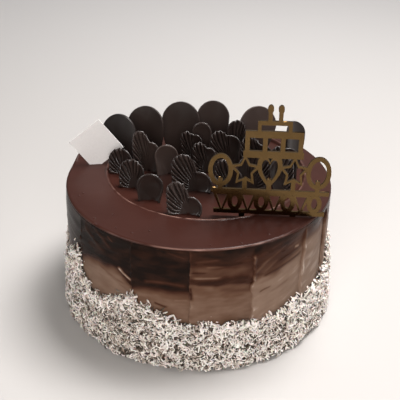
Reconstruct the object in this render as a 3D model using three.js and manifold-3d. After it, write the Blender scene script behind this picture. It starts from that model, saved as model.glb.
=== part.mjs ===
// A round chocolate cake with shredded coconut round its foot, ruffled chocolate fans and
// plain chocolate petals standing on its top, a blank white card and a gilt openwork topper.
//
// Millimetres, +Z up. The origin is the middle of the cake's flat underside, and the side
// that carries the topper's face looks towards -Y.

import * as THREE from "three";
import { mergeVertices } from "three/addons/utils/BufferGeometryUtils.js";
import Module from "manifold-3d";

const wasm = await Module();
wasm.setup();

// ---------------------------------------------------------------- driving dimensions

const CAKE_RADIUS = 101; // an eight-inch cake, frosting included
const CAKE_HEIGHT = 101;
const CLEARANCE = 0.3; // between pieces that touch

// The glaze on top: a crescent-shaped band that stands above a sunk, off-centre circle.
const SUNK_RADIUS = 76;
const SUNK_CENTRE = new THREE.Vector2(5.5, 14);
const SUNK_DEPTH = 2;
const LIP_HEIGHT = 0.5; // the thin bead of glaze round the sunk circle
const LIP_WIDTH = 2.2;
const RIM_ROUND = 3;
const RIM_PEAK = { at: -108.5, rise: 4.2, spread: 4.5 }; // degrees, mm, degrees: a torn tip of frosting
const PEAK_INSIDE = 0.6; // the share of the tip's rise that is left where the rim's curve ends
const WALL_MIDDLE = 0.45; // the share of the way from the coconut to the rim of the wall's middle row

// The side: upright knife strokes, each proud where it starts and pressed in where it ends.
const SEEN_STROKE_EDGES = [-55.9, -26.4, -3, 22.2, 48.6, 68.3]; // degrees from the front
const HIDDEN_STROKES = 9;
const STROKE_RELIEF = 0.9; // mm out at the start of a stroke, and in at its end
const STROKE_SHARES = [0, 0.05, 0.3, 0.6, 0.9, 0.985]; // columns across one stroke

// The coconut: a thick coat from the foot up to an uneven edge, with the longest shreds on it.
const COAT_FOOT = 5.5; // how far the coat stands out at the foot
const COAT_TOP = 2.2; // and just under its upper edge
const COAT_EDGE = 38; // height of the upper edge where it has no hump
const COAT_HUMPS = [
  { at: -62, rise: 27, spread: 7 },
  { at: -26, rise: 15, spread: 11 },
  { at: 55, rise: 3, spread: 10 },
  { at: 96, rise: 12, spread: 13 },
  { at: 137, rise: 5, spread: 10 },
  { at: 178, rise: 14, spread: 14 },
  { at: 226, rise: 8, spread: 12 },
  { at: 262, rise: 16, spread: 9 },
];
const COAT_RIPPLES = [
  { rise: 1.4, waves: 11, shift: 0 },
  { rise: 0.9, waves: 23, shift: 40 },
];
const COAT_TUCK = 2; // how far the underside's edge is drawn in
const COAT_GRAIN = { depth: 1, around: 19, up: 9, slowAround: 8, fastUp: 14 }; // unevenness, in waves
const COAT_SHARES = [0.02, 0.24, 0.5, 0.76, 0.95]; // rows up the coat
const SHRED = { count: 54, width: 1.8, thickness: 1.2, bend: 0.9, proud: 0.3, longest: 9, shortest: 5 };
const SHRED_SPAN = { lowest: 0.1, highest: 0.98 }; // shares of the coat's height
const SHRED_TURN = { nod: 0.3, twist: 0.5 }; // radians, in all

// Ruffled fans of chocolate: place on the cake, turn and lean in degrees, size in mm. A fan's
// outline is a disc on a skirt that narrows to the floor, or one with a drop is an upper lobe
// beside a lobe that is lower by that share. The ridges run in from the left edge, or from the
// right edge of a mirrored one, and the rest is smooth.
const FAN_THICKNESS = 1.3;
const FAN_FOOT = 1.2; // radius of the gathered foot
const FAN_FOOT_SHIFT = 0.12; // how far the foot is off the middle, as a share of the width
const FAN_BOW = 0.05; // how far the rays bow, as a share of the width
const FAN_SKIRT = 0.8; // width at the floor, as a share of the lobe's width
const UPPER_LOBE = 0.28; // radii of the two lobes, as shares of the width
const LOWER_LOBE = 0.33;
const FAN_CUP = 2.4; // how far the side edges stand forward
const FAN_CURL = { from: 0.6, rate: 14 }; // the rim curls forward from this share of the way out
const RIM_STEPS = 90; // rays on which the outline is worked out
const RIM_SOFT = 2; // it is evened out over this many rays to each side
const RIDGE_PITCH = 4.2; // along the rim
const RIDGE_DEPTH = 1.2;
const RIDGE_REACH = { from: 0.3, to: 0.65 }; // ridges rise between these shares of the way out
const RIDGE_SCALLOP = 0.02; // how much further out the rim stands on a ridge
const SHOULDER = 1.6; // the length of rim, to each side, in which ridges give way to the lobe
const LOBE_PITCH = 6.5; // the length of rim that one column of the lobe takes
const FAN_ROWS = 3;
const FANS = [
  { x: -60.3, y: 8, turn: -24, lean: 10, width: 20.5, height: 21, ridges: 7 },
  { x: -50.5, y: -14.4, turn: -24, lean: 12, width: 20.5, height: 23, ridges: 9 },
  { x: -35.6, y: -32, turn: -10, lean: 10, width: 19.5, height: 21, ridges: 0 },
  { x: -10.3, y: -51, turn: -6, lean: 12, width: 26, height: 24.2, ridges: 9, drop: 0.44 },
  { x: -41.5, y: 13, turn: -6, lean: 10, width: 21, height: 33, ridges: 10, drop: 0.26 },
  { x: -25.3, y: 8.5, turn: 8, lean: 10, width: 18, height: 24.3, ridges: 0 },
  { x: -5.5, y: -18, turn: -4, lean: 14, width: 31, height: 28.5, ridges: 10, drop: 0.45 },
  { x: 1.8, y: 34.7, turn: -12, lean: 8, width: 16, height: 31.5, ridges: 0 },
  { x: 4.2, y: 11, turn: 8, lean: 12, width: 18.5, height: 25.5, ridges: 8, drop: 0.2 },
  { x: 20.8, y: 26, turn: 6, lean: 10, width: 24, height: 28.5, ridges: 10, drop: 0.15 },
  { x: 29.5, y: 35, turn: 20, lean: 6, width: 16, height: 34, ridges: 10, mirrored: true },
  { x: 22, y: -20, turn: -14, lean: 12, width: 21, height: 26, ridges: 8, drop: 0.25 },
  { x: 41, y: -13, turn: 8, lean: 12, width: 24, height: 28, ridges: 9, mirrored: true },
  { x: 44, y: 10, turn: -6, lean: 10, width: 25, height: 31, ridges: 10, drop: 0.2 },
  { x: 62, y: -17, turn: 26, lean: 12, width: 21, height: 28, ridges: 9, mirrored: true },
  { x: 65, y: 3, turn: 14, lean: 8, width: 21, height: 28, ridges: 9, drop: 0.1 },
  { x: -6.2, y: 28.5, turn: -6, lean: 8, width: 17, height: 26.5, ridges: 8, drop: 0.1 },
];

// Plain petals of chocolate at the back: arched tops, straight sides, bent round an upright axis.
const PETAL_THICKNESS = 1.7;
const PETALS = [
  { x: -56, y: 27, turn: -14, lean: 8, width: 28, height: 38, roll: -18 },
  { x: -42, y: 38, turn: -10, lean: 8, width: 29, height: 42, roll: -2 },
  { x: -15, y: 43, turn: -4, lean: 8, width: 30, height: 44, roll: 0 },
  { x: 10, y: 48, turn: 6, lean: 8, width: 26, height: 43, roll: 2 },
  { x: 41.5, y: 43, turn: 10, lean: 8, width: 30, height: 39.5, roll: 13 },
  { x: 72, y: 17, turn: 40, lean: 8, width: 20, height: 39, roll: 8 },
];
const PETAL_BEND = 3.5; // how far the side edges stand forward of the middle
const PETAL_WAIST = 0.35; // how much narrower a petal is at its foot
const PETAL_GRID = 5;

// The card: a blank square of white card, one corner pushed into the glaze.
const CARD = { x: -80, y: 19, side: 30, thickness: 0.8, turn: 6, roll: 37.5, lean: 4, sunk: 5 };

// The topper: a flat gilt plate cut into an openwork design, on two pegs.
const TOPPER = { x: 48.5, y: -55.5, turn: -3.5, thickness: 1.8, width: 84 };
const PEG = { at: 18, width: 4, length: 20 }; // distance of each peg from the middle
const SLOT_SPARE = 4; // how much longer a peg's slot is cut
const STROKE = 3.1; // width of the openwork's bars
const OVERLAP = 1; // how far one bar runs into the next
const RAILS = { foot: 3, middle: 19.5, cake: 47.5 }; // heights above the floor
const RAIL_ENDS = { foot: 4, middle: 2, right: 2 }; // how far the rails stop short of the width
const SMALL_ROW = { count: 8, inset: 5, ovalAt: 12.9, pennantAt: 12.2 };
const SMALL_OVAL = { width: 1.12, height: 15 }; // widths are shares of the row's pitch
const SMALL_PENNANT = { width: 1.5, height: 18 };
const TALL_ROW = { at: 37, height: 25, width: 1.02, starWidth: 1.3, stemTop: 31 };
const STAR = { points: 5, notch: 0.52 };
const CAKE_MOTIF = { x: 2, half: 20.5, slab: 5, window: 10, pillars: [-18, -6, 6, 18], pillar: 1.6 };
const TIER_MOTIF = { half: 11.5, slab: 3, window: 4.5, pillar: 1.2 };
const CANDLES = { at: [-3.5, 3.5], half: 1.4, height: 6.5, flame: { up: 2, half: 2, halfHeight: 3 } };

// ---------------------------------------------------------------- helpers

const radians = THREE.MathUtils.degToRad;

/** A repeatable stream of random numbers from 0 to 1. */
function seeded(seed) {
  let state = seed;
  return () => {
    state = (state + 0x6d2b79f5) | 0;
    let mixed = Math.imul(state ^ (state >>> 15), 1 | state);
    mixed = (mixed + Math.imul(mixed ^ (mixed >>> 7), 61 | mixed)) ^ mixed;
    return ((mixed ^ (mixed >>> 14)) >>> 0) / 4294967296;
  };
}

/** The signed distance between two directions, from -180 to 180 degrees. */
function between(a, b) {
  return THREE.MathUtils.euclideanModulo(a - b + 180, 360) - 180;
}

/** A smooth bump of height 1 at a direction. */
function bump(angle, at, spread) {
  return Math.exp(-((between(angle, at) / spread) ** 2) / 2);
}

/** A closed geometry with only positions, its shared corners merged. */
function welded(geometry) {
  const bare = new THREE.BufferGeometry();
  bare.setAttribute("position", geometry.getAttribute("position"));
  if (geometry.index) bare.setIndex(geometry.index);
  return mergeVertices(bare, 1e-4);
}

/** The manifold-3d solid of a closed three.js geometry. */
function solid(geometry) {
  const closed = welded(geometry);
  const mesh = new wasm.Mesh({
    numProp: 3,
    vertProperties: new Float32Array(closed.getAttribute("position").array),
    triVerts: new Uint32Array(closed.index.array),
  });
  return new wasm.Manifold(mesh);
}

/** The three.js geometry of a manifold-3d solid. */
function geometryOf(body) {
  const mesh = body.getMesh();
  const geometry = new THREE.BufferGeometry();
  geometry.setAttribute("position", new THREE.BufferAttribute(mesh.vertProperties, 3));
  geometry.setIndex(new THREE.BufferAttribute(mesh.triVerts, 1));
  geometry.computeVertexNormals();
  return geometry;
}

/** Several solids fused into one, without any scrap that touches nothing. */
function joined(bodies) {
  const whole = bodies.reduce((sum, body) => sum.add(body));
  return whole.decompose().reduce((a, b) => (a.volume() > b.volume() ? a : b));
}

/** A named mesh in its own material. */
function piece(name, geometry, material) {
  const mesh = new THREE.Mesh(geometry, material);
  mesh.name = name;
  return mesh;
}

/**
 * A thin closed solid along a surface. middle(u, v) gives the surface, u and v from 0 to 1, and
 * both faces take the same triangles, from a plane's grid, so the thickness stays even.
 */
function sheet(columns, rows, thickness, middle) {
  const plane = new THREE.PlaneGeometry(1, 1, columns, rows);
  const uv = plane.getAttribute("uv");
  const step = 1e-3;
  const front = [];
  const back = [];
  for (let i = 0; i < uv.count; i++) {
    const u = uv.getX(i);
    const v = uv.getY(i);
    const across = middle(Math.min(u + step, 1), v).sub(middle(Math.max(u - step, 0), v));
    const up = middle(u, Math.min(v + step, 1)).sub(middle(u, Math.max(v - step, 0)));
    const normal = across.cross(up).normalize().multiplyScalar(thickness / 2);
    const point = middle(u, v);
    front.push(point.clone().add(normal));
    back.push(point.sub(normal));
  }

  const faces = [...plane.index.array];
  const opposite = uv.count;
  const triangles = [...faces];
  for (let i = 0; i < faces.length; i += 3) {
    triangles.push(faces[i] + opposite, faces[i + 2] + opposite, faces[i + 1] + opposite);
  }
  for (const [a, b] of outline(columns, rows)) {
    triangles.push(a, b, b + opposite, a, b + opposite, a + opposite);
  }
  const geometry = new THREE.BufferGeometry().setFromPoints([...front, ...back]);
  geometry.setIndex(triangles);
  geometry.computeVertexNormals();
  return geometry;
}

/** The edges round a plane's grid, in the order that closes a sheet with its faces outwards. */
function outline(columns, rows) {
  const wide = columns + 1;
  const around = [];
  for (let i = 0; i < columns; i++) around.push(i);
  for (let j = 0; j < rows; j++) around.push(j * wide + columns);
  for (let i = columns; i > 0; i--) around.push(rows * wide + i);
  for (let j = rows; j > 0; j--) around.push(j * wide);
  return around.map((corner, i) => [corner, around[(i + 1) % around.length]]);
}

// ---------------------------------------------------------------- materials

const glazedFrosting = new THREE.MeshStandardMaterial({
  color: "#4a3029",
  roughness: 0.3,
  metalness: 0,
});
const darkChocolate = new THREE.MeshStandardMaterial({
  color: "#2c211e",
  roughness: 0.35,
  metalness: 0,
});
const whiteCard = new THREE.MeshStandardMaterial({
  color: "#dedad4",
  roughness: 0.7,
  metalness: 0,
});
const gilt = new THREE.MeshStandardMaterial({ color: "#8a682f", roughness: 0.3, metalness: 1 });

// ---------------------------------------------------------------- cake

/** Directions, in degrees from the front, at which the knife strokes start. */
function strokeEdges() {
  const first = SEEN_STROKE_EDGES[0];
  const last = SEEN_STROKE_EDGES[SEEN_STROKE_EDGES.length - 1];
  const width = (360 - (last - first)) / HIDDEN_STROKES;
  const hidden = [];
  for (let i = 1; i <= HIDDEN_STROKES; i++) hidden.push(last + i * width);
  return [...SEEN_STROKE_EDGES, ...hidden];
}

/** The columns round the cake: a direction and how far the knife strokes stand out there. */
function strokeColumns() {
  const edges = strokeEdges();
  const columns = [];
  for (let i = 0; i + 1 < edges.length; i++) {
    for (const share of STROKE_SHARES) {
      const angle = edges[i] + share * (edges[i + 1] - edges[i]);
      columns.push({ angle, relief: STROKE_RELIEF * (1 - 2 * share) });
    }
  }
  return columns;
}

/** Height of the coconut's upper edge in a direction. */
function coatEdge(angle) {
  const humps = COAT_HUMPS.map(({ at, rise, spread }) => rise * bump(angle, at, spread));
  const ripples = COAT_RIPPLES.map(({ rise, waves, shift }) => {
    return rise * Math.sin(radians(angle * waves + shift));
  });
  return [...humps, ...ripples].reduce((sum, rise) => sum + rise, COAT_EDGE);
}

/** How far the coconut coat stands out, at a share of the height of its upper edge. */
function coatDepth(share) {
  return THREE.MathUtils.lerp(COAT_FOOT, COAT_TOP, share ** 0.7);
}

/** The smooth unevenness of the coat, in mm. */
function coatGrain(angle, share) {
  const turn = radians(angle);
  const { depth, around, up, slowAround, fastUp } = COAT_GRAIN;
  return depth * Math.sin(around * turn + up * share) * Math.cos(slowAround * turn - fastUp * share);
}

/** The rows of the cake's skin in one column, from the underside's middle to the top's. */
function skin({ angle, relief }) {
  const edge = coatEdge(angle);
  const wall = CAKE_RADIUS + relief;
  const peak = RIM_PEAK.rise * bump(angle, RIM_PEAK.at, RIM_PEAK.spread);
  const around = (radius, height) => ({ centre: 0, radius, height });
  const aroundSunk = (radius, height) => ({ centre: 1, radius, height });
  const floor = CAKE_HEIGHT - SUNK_DEPTH;
  const corner = RIM_ROUND * (1 - Math.SQRT1_2); // the middle of the rim's curve is this far in

  const coat = COAT_SHARES.map((share) => {
    return around(CAKE_RADIUS + coatDepth(share) + coatGrain(angle, share), share * edge);
  });
  return [
    around(0, 0),
    around(CAKE_RADIUS + COAT_FOOT - COAT_TUCK, 0),
    ...coat,
    around(wall, edge + 1),
    around(wall, THREE.MathUtils.lerp(edge, CAKE_HEIGHT, WALL_MIDDLE)),
    around(wall, CAKE_HEIGHT - 2 * RIM_ROUND),
    around(CAKE_RADIUS - corner, CAKE_HEIGHT - corner + peak),
    around(CAKE_RADIUS - RIM_ROUND, CAKE_HEIGHT + PEAK_INSIDE * peak),
    aroundSunk(SUNK_RADIUS + LIP_WIDTH, CAKE_HEIGHT),
    aroundSunk(SUNK_RADIUS + LIP_WIDTH / 2, CAKE_HEIGHT + LIP_HEIGHT),
    aroundSunk(SUNK_RADIUS, CAKE_HEIGHT - SUNK_DEPTH / 2),
    aroundSunk(SUNK_RADIUS - LIP_WIDTH / 2, floor),
    aroundSunk(0, floor),
  ];
}

/** The cake's body: a lathe turned from the skin's rows, each column then moved to its place. */
function cakeBody() {
  const columns = strokeColumns().map((column) => ({ ...column, rows: skin(column) }));
  const profile = columns[0].rows.map(({ radius, height }) => new THREE.Vector2(radius, height));
  const lathe = new THREE.LatheGeometry(profile, columns.length);
  const position = lathe.getAttribute("position");
  for (let i = 0; i <= columns.length; i++) {
    const { angle, rows } = columns[i % columns.length];
    rows.forEach(({ centre, radius, height }, j) => {
      position.setXYZ(
        i * rows.length + j,
        centre * SUNK_CENTRE.x + radius * Math.sin(radians(angle)),
        centre * SUNK_CENTRE.y - radius * Math.cos(radians(angle)),
        height,
      );
    });
  }
  return solid(lathe);
}

/** One shred of coconut: a short strip bent across its middle, lying half in the coat. */
function shred(angle, height, length, random) {
  const strip = new THREE.BoxGeometry(length, SHRED.width, SHRED.thickness, 2, 1, 1);
  const position = strip.getAttribute("position");
  for (let i = 0; i < position.count; i++) {
    if (position.getX(i) === 0) position.setZ(i, position.getZ(i) - SHRED.bend);
  }
  const share = height / coatEdge(angle);
  const placed = new THREE.Object3D();
  const radius = CAKE_RADIUS + coatDepth(share) + coatGrain(angle, share) + SHRED.proud;
  placed.position.set(radius * Math.sin(radians(angle)), -radius * Math.cos(radians(angle)), height);
  placed.rotation.order = "ZXY";
  placed.rotation.z = radians(angle);
  placed.rotation.x = Math.PI / 2 + SHRED_TURN.nod * (random() - 0.5);
  placed.updateMatrix();
  strip.rotateY(SHRED_TURN.twist * (random() - 0.5));
  strip.rotateZ(Math.PI * random());
  return solid(strip.applyMatrix4(placed.matrix));
}

/** The longest shreds, spread evenly over the coat by the golden angle. */
function shreds() {
  const random = seeded(21);
  const goldenAngle = 137.508;
  const made = [];
  for (let i = 0; i < SHRED.count; i++) {
    const angle = i * goldenAngle;
    const { lowest, highest } = SHRED_SPAN;
    const share = THREE.MathUtils.lerp(lowest, highest, (i + 0.5) / SHRED.count);
    const length = THREE.MathUtils.lerp(SHRED.shortest, SHRED.longest, random());
    made.push(shred(angle, share * coatEdge(angle), length, random));
  }
  return made;
}

// ---------------------------------------------------------------- chocolate decorations

/** How far a disc on its skirt reaches along a ray from a foot on the floor. */
function lobeReach({ x, z, radius }, foot, angle) {
  const across = Math.cos(angle);
  const up = Math.sin(angle);
  const along = (x - foot) * across + z * up;
  const aside = (x - foot) * up - z * across;
  const disc = Math.abs(aside) < radius ? along + Math.sqrt(radius ** 2 - aside ** 2) : 0;
  const outward = Math.sign(across);
  const widening = ((1 - FAN_SKIRT) * radius) / z;
  const skirt = (x + outward * FAN_SKIRT * radius - foot) / (across - outward * widening * up);
  return Math.max(disc, skirt > 0 && skirt * up <= z ? skirt : 0);
}

/** The rim of a fan: its length, and for a length along it the ray's angle and reach. */
function fanRim({ width, height, drop }) {
  const lobe = (radius, x, top) => ({ radius, x, z: top - radius });
  const upper = UPPER_LOBE * width;
  const lower = LOWER_LOBE * width;
  const lobes = drop
    ? [lobe(upper, upper - width / 2, height), lobe(lower, width / 2 - lower, (1 - drop) * height)]
    : [lobe(width / 2, 0, height)];

  const sharp = [];
  for (let i = 0; i <= RIM_STEPS; i++) {
    const angle = Math.PI * (1 - i / RIM_STEPS);
    const reaches = lobes.map((one) => lobeReach(one, FAN_FOOT_SHIFT * width, angle));
    sharp.push(Math.max(...reaches));
  }
  const reach = sharp.map((_, i) => {
    const near = sharp.slice(Math.max(i - RIM_SOFT, 0), i + RIM_SOFT + 1);
    return near.reduce((sum, one) => sum + one) / near.length;
  });
  const lengths = [0];
  for (let i = 1; i <= RIM_STEPS; i++) {
    const step = Math.hypot(reach[i] - reach[i - 1], (reach[i] * Math.PI) / RIM_STEPS);
    lengths.push(lengths[i - 1] + step);
  }

  const ray = (length) => {
    const after = lengths.findIndex((one, i) => i > 0 && one >= length);
    const i = after < 0 ? RIM_STEPS : after;
    const share = (length - lengths[i - 1]) / (lengths[i] - lengths[i - 1]);
    return {
      angle: Math.PI * (1 - (i - 1 + share) / RIM_STEPS),
      reach: THREE.MathUtils.lerp(reach[i - 1], reach[i], share),
    };
  };
  return { length: lengths[RIM_STEPS], ray };
}

/**
 * The columns across a fan, and its middle surface standing on z = 0, seen face on from -Y. Its
 * rays run from a gathered foot out to the rim, bowed on the way. Each ridge takes two columns.
 */
function fanShape(fan) {
  const { width, ridges, mirrored } = fan;
  const { length, ray } = fanRim(fan);
  const side = mirrored ? -1 : 1;
  const ridged = RIDGE_PITCH * ridges;
  const lobeColumns = Math.ceil((length - ridged) / LOBE_PITCH);
  const columns = 2 * ridges + lobeColumns;
  const { lerp, smoothstep } = THREE.MathUtils;

  const middle = (share, v) => {
    const column = share * columns;
    const past = Math.max(column - 2 * ridges, 0) / lobeColumns;
    const at = (RIDGE_PITCH * Math.min(column, 2 * ridges)) / 2 + (length - ridged) * past;
    const { angle, reach } = ray(at);
    const smooth = ridges ? smoothstep(at, ridged - SHOULDER, ridged + SHOULDER) : 1;
    const pleat = Math.cos((2 * Math.PI * at) / RIDGE_PITCH) * (1 - smooth);
    const fold = RIDGE_DEPTH * pleat * smoothstep(v, RIDGE_REACH.from, RIDGE_REACH.to);
    const out = lerp(FAN_FOOT, reach * (1 + RIDGE_SCALLOP * pleat), v);
    const bow = FAN_BOW * width * 4 * v * (1 - v) * Math.sin(angle);
    const cup = FAN_CUP * ((2 * at) / length - 1) ** 2 * v;
    const curl = FAN_CURL.rate * Math.max(0, v - FAN_CURL.from) ** 2;
    const x = FAN_FOOT_SHIFT * width + out * Math.cos(angle) + bow;
    return new THREE.Vector3(side * x, fold - cup - curl, out * Math.sin(angle));
  };
  return { columns, middle };
}

/** The middle surface of a plain petal standing on z = 0. */
function petalSurface({ width, height }) {
  const shoulder = height - width / 2;
  return (u, v) => {
    const a = 2 * u - 1;
    const b = 2 * v - 1;
    const arch = Math.max(b, 0);
    const foot = Math.max(-b, 0);
    const x = (width / 2) * a * Math.sqrt(1 - arch ** 2 / 2) * (1 - PETAL_WAIST * foot ** 2);
    const z = shoulder * Math.min(b + 1, 1) + (width / 2) * arch * Math.sqrt(1 - a ** 2 / 2);
    return new THREE.Vector3(x, -PETAL_BEND * (x / (width / 2)) ** 2, z);
  };
}

/** Turns a standing piece: rolled in its own plane, leant back, then turned on the cake. */
function stand(mesh, { x, y, turn, lean, roll = 0 }, floor) {
  mesh.rotation.order = "ZXY";
  mesh.rotation.set(-radians(lean), radians(roll), radians(turn));
  mesh.position.set(x, y, 0);
  mesh.updateMatrixWorld(true);
  const lowest = new THREE.Box3().setFromObject(mesh, true).min.z;
  mesh.position.z = floor + CLEARANCE - lowest;
  return mesh;
}

function fans(floor) {
  return FANS.map((fan, i) => {
    const { columns, middle } = fanShape(fan);
    const geometry = sheet(columns, FAN_ROWS, FAN_THICKNESS, middle);
    return stand(piece(numbered("fan", i), geometry, darkChocolate), fan, floor);
  });
}

function petals(floor) {
  return PETALS.map((petal, i) => {
    const geometry = sheet(PETAL_GRID, PETAL_GRID, PETAL_THICKNESS, petalSurface(petal));
    return stand(piece(numbered("petal", i), geometry, darkChocolate), petal, floor);
  });
}

function numbered(name, i) {
  return `${name}_${String(i + 1).padStart(2, "0")}`;
}

// ---------------------------------------------------------------- card

/** The card, or with room round it, the slot that it stands in. */
function cardPlate(room) {
  const side = CARD.side + 2 * room;
  const plate = new THREE.BoxGeometry(side, CARD.thickness + 2 * room, side);
  const middle = CARD.side * Math.SQRT1_2;
  const placed = new THREE.Object3D();
  placed.rotation.order = "ZXY";
  placed.rotation.set(-radians(CARD.lean), 0, radians(CARD.turn));
  placed.position.set(CARD.x, CARD.y, CAKE_HEIGHT - CARD.sunk);
  placed.updateMatrix();
  plate.rotateY(-radians(CARD.roll));
  plate.translate(0, 0, middle);
  return plate.applyMatrix4(placed.matrix);
}

// ---------------------------------------------------------------- topper

/** A flat shape as a plate of the topper's thickness, standing in the XZ plane. */
function plate(shape) {
  const depth = TOPPER.thickness;
  const cut = new THREE.ExtrudeGeometry(shape, { depth, bevelEnabled: false, curveSegments: 5 });
  cut.translate(0, 0, -depth / 2);
  cut.rotateX(Math.PI / 2);
  return solid(cut);
}

function bar(x0, z0, x1, z1) {
  const shape = new THREE.Shape();
  shape.moveTo(x0, z0);
  shape.lineTo(x1, z0);
  shape.lineTo(x1, z1);
  shape.lineTo(x0, z1);
  shape.closePath();
  return plate(shape);
}

/** An outline drawn twice: once at full size, once as the hole that leaves bars of one width. */
function ring(draw, x, z, width, height) {
  const shape = draw(new THREE.Shape(), x, z, width / 2, height / 2);
  const hole = draw(new THREE.Path(), x, z, width / 2 - STROKE, height / 2 - STROKE);
  shape.holes.push(hole);
  return plate(shape);
}

function oval(path, x, z, halfWidth, halfHeight) {
  path.absellipse(x, z, halfWidth, halfHeight, 0, 2 * Math.PI, false, 0);
  return path;
}

function star(path, x, z, halfWidth, halfHeight) {
  for (let i = 0; i < 2 * STAR.points; i++) {
    const reach = i % 2 ? STAR.notch : 1;
    const angle = (i * Math.PI) / STAR.points;
    const px = x - reach * halfWidth * Math.sin(angle);
    const pz = z + reach * halfHeight * Math.cos(angle);
    if (i) path.lineTo(px, pz);
    else path.moveTo(px, pz);
  }
  return path;
}

function heart(path, x, z, w, h) {
  path.moveTo(x, z - h);
  path.bezierCurveTo(x + 0.9 * w, z - 0.25 * h, x + w, z + 0.1 * h, x + w, z + 0.45 * h);
  path.bezierCurveTo(x + w, z + 1.1 * h, x + 0.2 * w, z + 1.15 * h, x, z + 0.55 * h);
  path.bezierCurveTo(x - 0.2 * w, z + 1.15 * h, x - w, z + 1.1 * h, x - w, z + 0.45 * h);
  path.bezierCurveTo(x - w, z + 0.1 * h, x - 0.9 * w, z - 0.25 * h, x, z - h);
  return path;
}

/** A pennant, point down. */
function pennant(path, x, z, halfWidth, halfHeight) {
  path.moveTo(x, z - halfHeight);
  path.lineTo(x + halfWidth, z + halfHeight);
  path.lineTo(x - halfWidth, z + halfHeight);
  return path;
}

/** The openwork, from the foot rail up: small motifs, a rail, tall motifs, a cake with candles. */
function topper() {
  const half = TOPPER.width / 2;
  const parts = [
    bar(RAIL_ENDS.foot - half, RAILS.foot, half - RAIL_ENDS.right, RAILS.foot + STROKE),
    bar(RAIL_ENDS.middle - half, RAILS.middle, half, RAILS.middle + STROKE),
  ];

  const smallPitch = (TOPPER.width - 2 * SMALL_ROW.inset) / SMALL_ROW.count;
  for (let i = 0; i < SMALL_ROW.count; i++) {
    const x = SMALL_ROW.inset - half + smallPitch * (i + 0.5);
    const [draw, z, size] = i % 2
      ? [oval, SMALL_ROW.ovalAt, SMALL_OVAL]
      : [pennant, SMALL_ROW.pennantAt, SMALL_PENNANT];
    parts.push(ring(draw, x, z, smallPitch * size.width, size.height));
  }

  const tall = [oval, star, heart, star, oval];
  const tallPitch = TOPPER.width / tall.length;
  tall.forEach((draw, i) => {
    const x = tallPitch * (i + 0.5) - half;
    const width = tallPitch * (draw === star ? TALL_ROW.starWidth : TALL_ROW.width);
    parts.push(ring(draw, x, TALL_ROW.at, width, TALL_ROW.height));
    parts.push(upright(x, STROKE / 2, RAILS.middle + OVERLAP, TALL_ROW.stemTop));
  });

  parts.push(...cakeMotif());
  for (const x of [-PEG.at, PEG.at]) {
    parts.push(upright(x, PEG.width / 2, RAILS.foot - PEG.length, RAILS.foot + OVERLAP));
  }
  return joined(parts);
}

/** An upright bar round a line, between two heights. */
function upright(x, halfWidth, low, high) {
  return bar(x - halfWidth, low, x + halfWidth, high);
}

/** A two-tier cake with windows in its tiers and two candles. */
function cakeMotif() {
  const { x, half, slab, window, pillars } = CAKE_MOTIF;
  const foot = RAILS.cake;
  const cakeTop = foot + slab + window;
  const tierFoot = cakeTop + slab;
  const tierTop = tierFoot + TIER_MOTIF.window;
  const wick = tierTop + TIER_MOTIF.slab + CANDLES.height;
  const parts = [
    upright(x, half, foot, foot + slab),
    upright(x, half - OVERLAP, cakeTop, tierFoot),
    upright(x, TIER_MOTIF.half, tierTop, tierTop + TIER_MOTIF.slab),
  ];
  for (const at of pillars) {
    parts.push(upright(x + at, CAKE_MOTIF.pillar, foot + slab - OVERLAP, cakeTop + OVERLAP));
  }
  const tierPillar = TIER_MOTIF.half - TIER_MOTIF.pillar;
  for (const at of [-tierPillar, tierPillar]) {
    parts.push(upright(x + at, TIER_MOTIF.pillar, tierFoot - OVERLAP, tierTop + OVERLAP));
  }
  for (const at of CANDLES.at) {
    const { up, half: flameHalf, halfHeight } = CANDLES.flame;
    parts.push(upright(x + at, CANDLES.half, tierTop + TIER_MOTIF.slab - OVERLAP, wick));
    parts.push(plate(oval(new THREE.Shape(), x + at, wick + up, flameHalf, halfHeight)));
  }
  return parts;
}

/** The slots in the cake that the topper's pegs stand in. */
function pegSlots() {
  return [-1, 1].map((sideways) => {
    const slot = new THREE.BoxGeometry(
      PEG.width + 2 * CLEARANCE,
      TOPPER.thickness + 2 * CLEARANCE,
      PEG.length + SLOT_SPARE,
    );
    slot.translate(sideways * PEG.at, 0, CAKE_HEIGHT - PEG.length / 2);
    slot.rotateZ(radians(TOPPER.turn));
    return slot.translate(TOPPER.x, TOPPER.y, 0);
  });
}

// ---------------------------------------------------------------- the whole

const floor = CAKE_HEIGHT - SUNK_DEPTH;

let cakeSolid = joined([cakeBody(), ...shreds()]);
for (const slot of [...pegSlots(), cardPlate(CLEARANCE)]) {
  cakeSolid = cakeSolid.subtract(solid(slot));
}

const decorations = new THREE.Group();
decorations.add(...fans(floor), ...petals(floor));

const card = piece("card", cardPlate(0), whiteCard);

const topperMesh = piece("topper", geometryOf(topper()), gilt);
topperMesh.position.set(TOPPER.x, TOPPER.y, floor);
topperMesh.rotation.z = radians(TOPPER.turn);

const cake = new THREE.Group();
cake.add(piece("cake", geometryOf(cakeSolid), glazedFrosting), decorations, card, topperMesh);

export default cake;
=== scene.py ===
# %% [markdown]
# # A chocolate coconut cake
#
# This lesson dresses a plain model of a celebration cake. The real cake is about eight inches
# across. Buttercream and dark chocolate were pulled round its side with a palette knife, more
# chocolate was poured over its top, and desiccated coconut was pressed on round its foot.
# Thin chocolate fans and petals stand on top, with a blank card and a gilt openwork topper.
#
# The plain model comes first. It fixes every size and place, so each piece below is built
# where the model says, in metres, with +Z up and the cake's front towards -Y.

# %% Load the plain model and measure it
import math

import bpy
import numpy as np
from mathutils import Matrix, Vector


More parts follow.
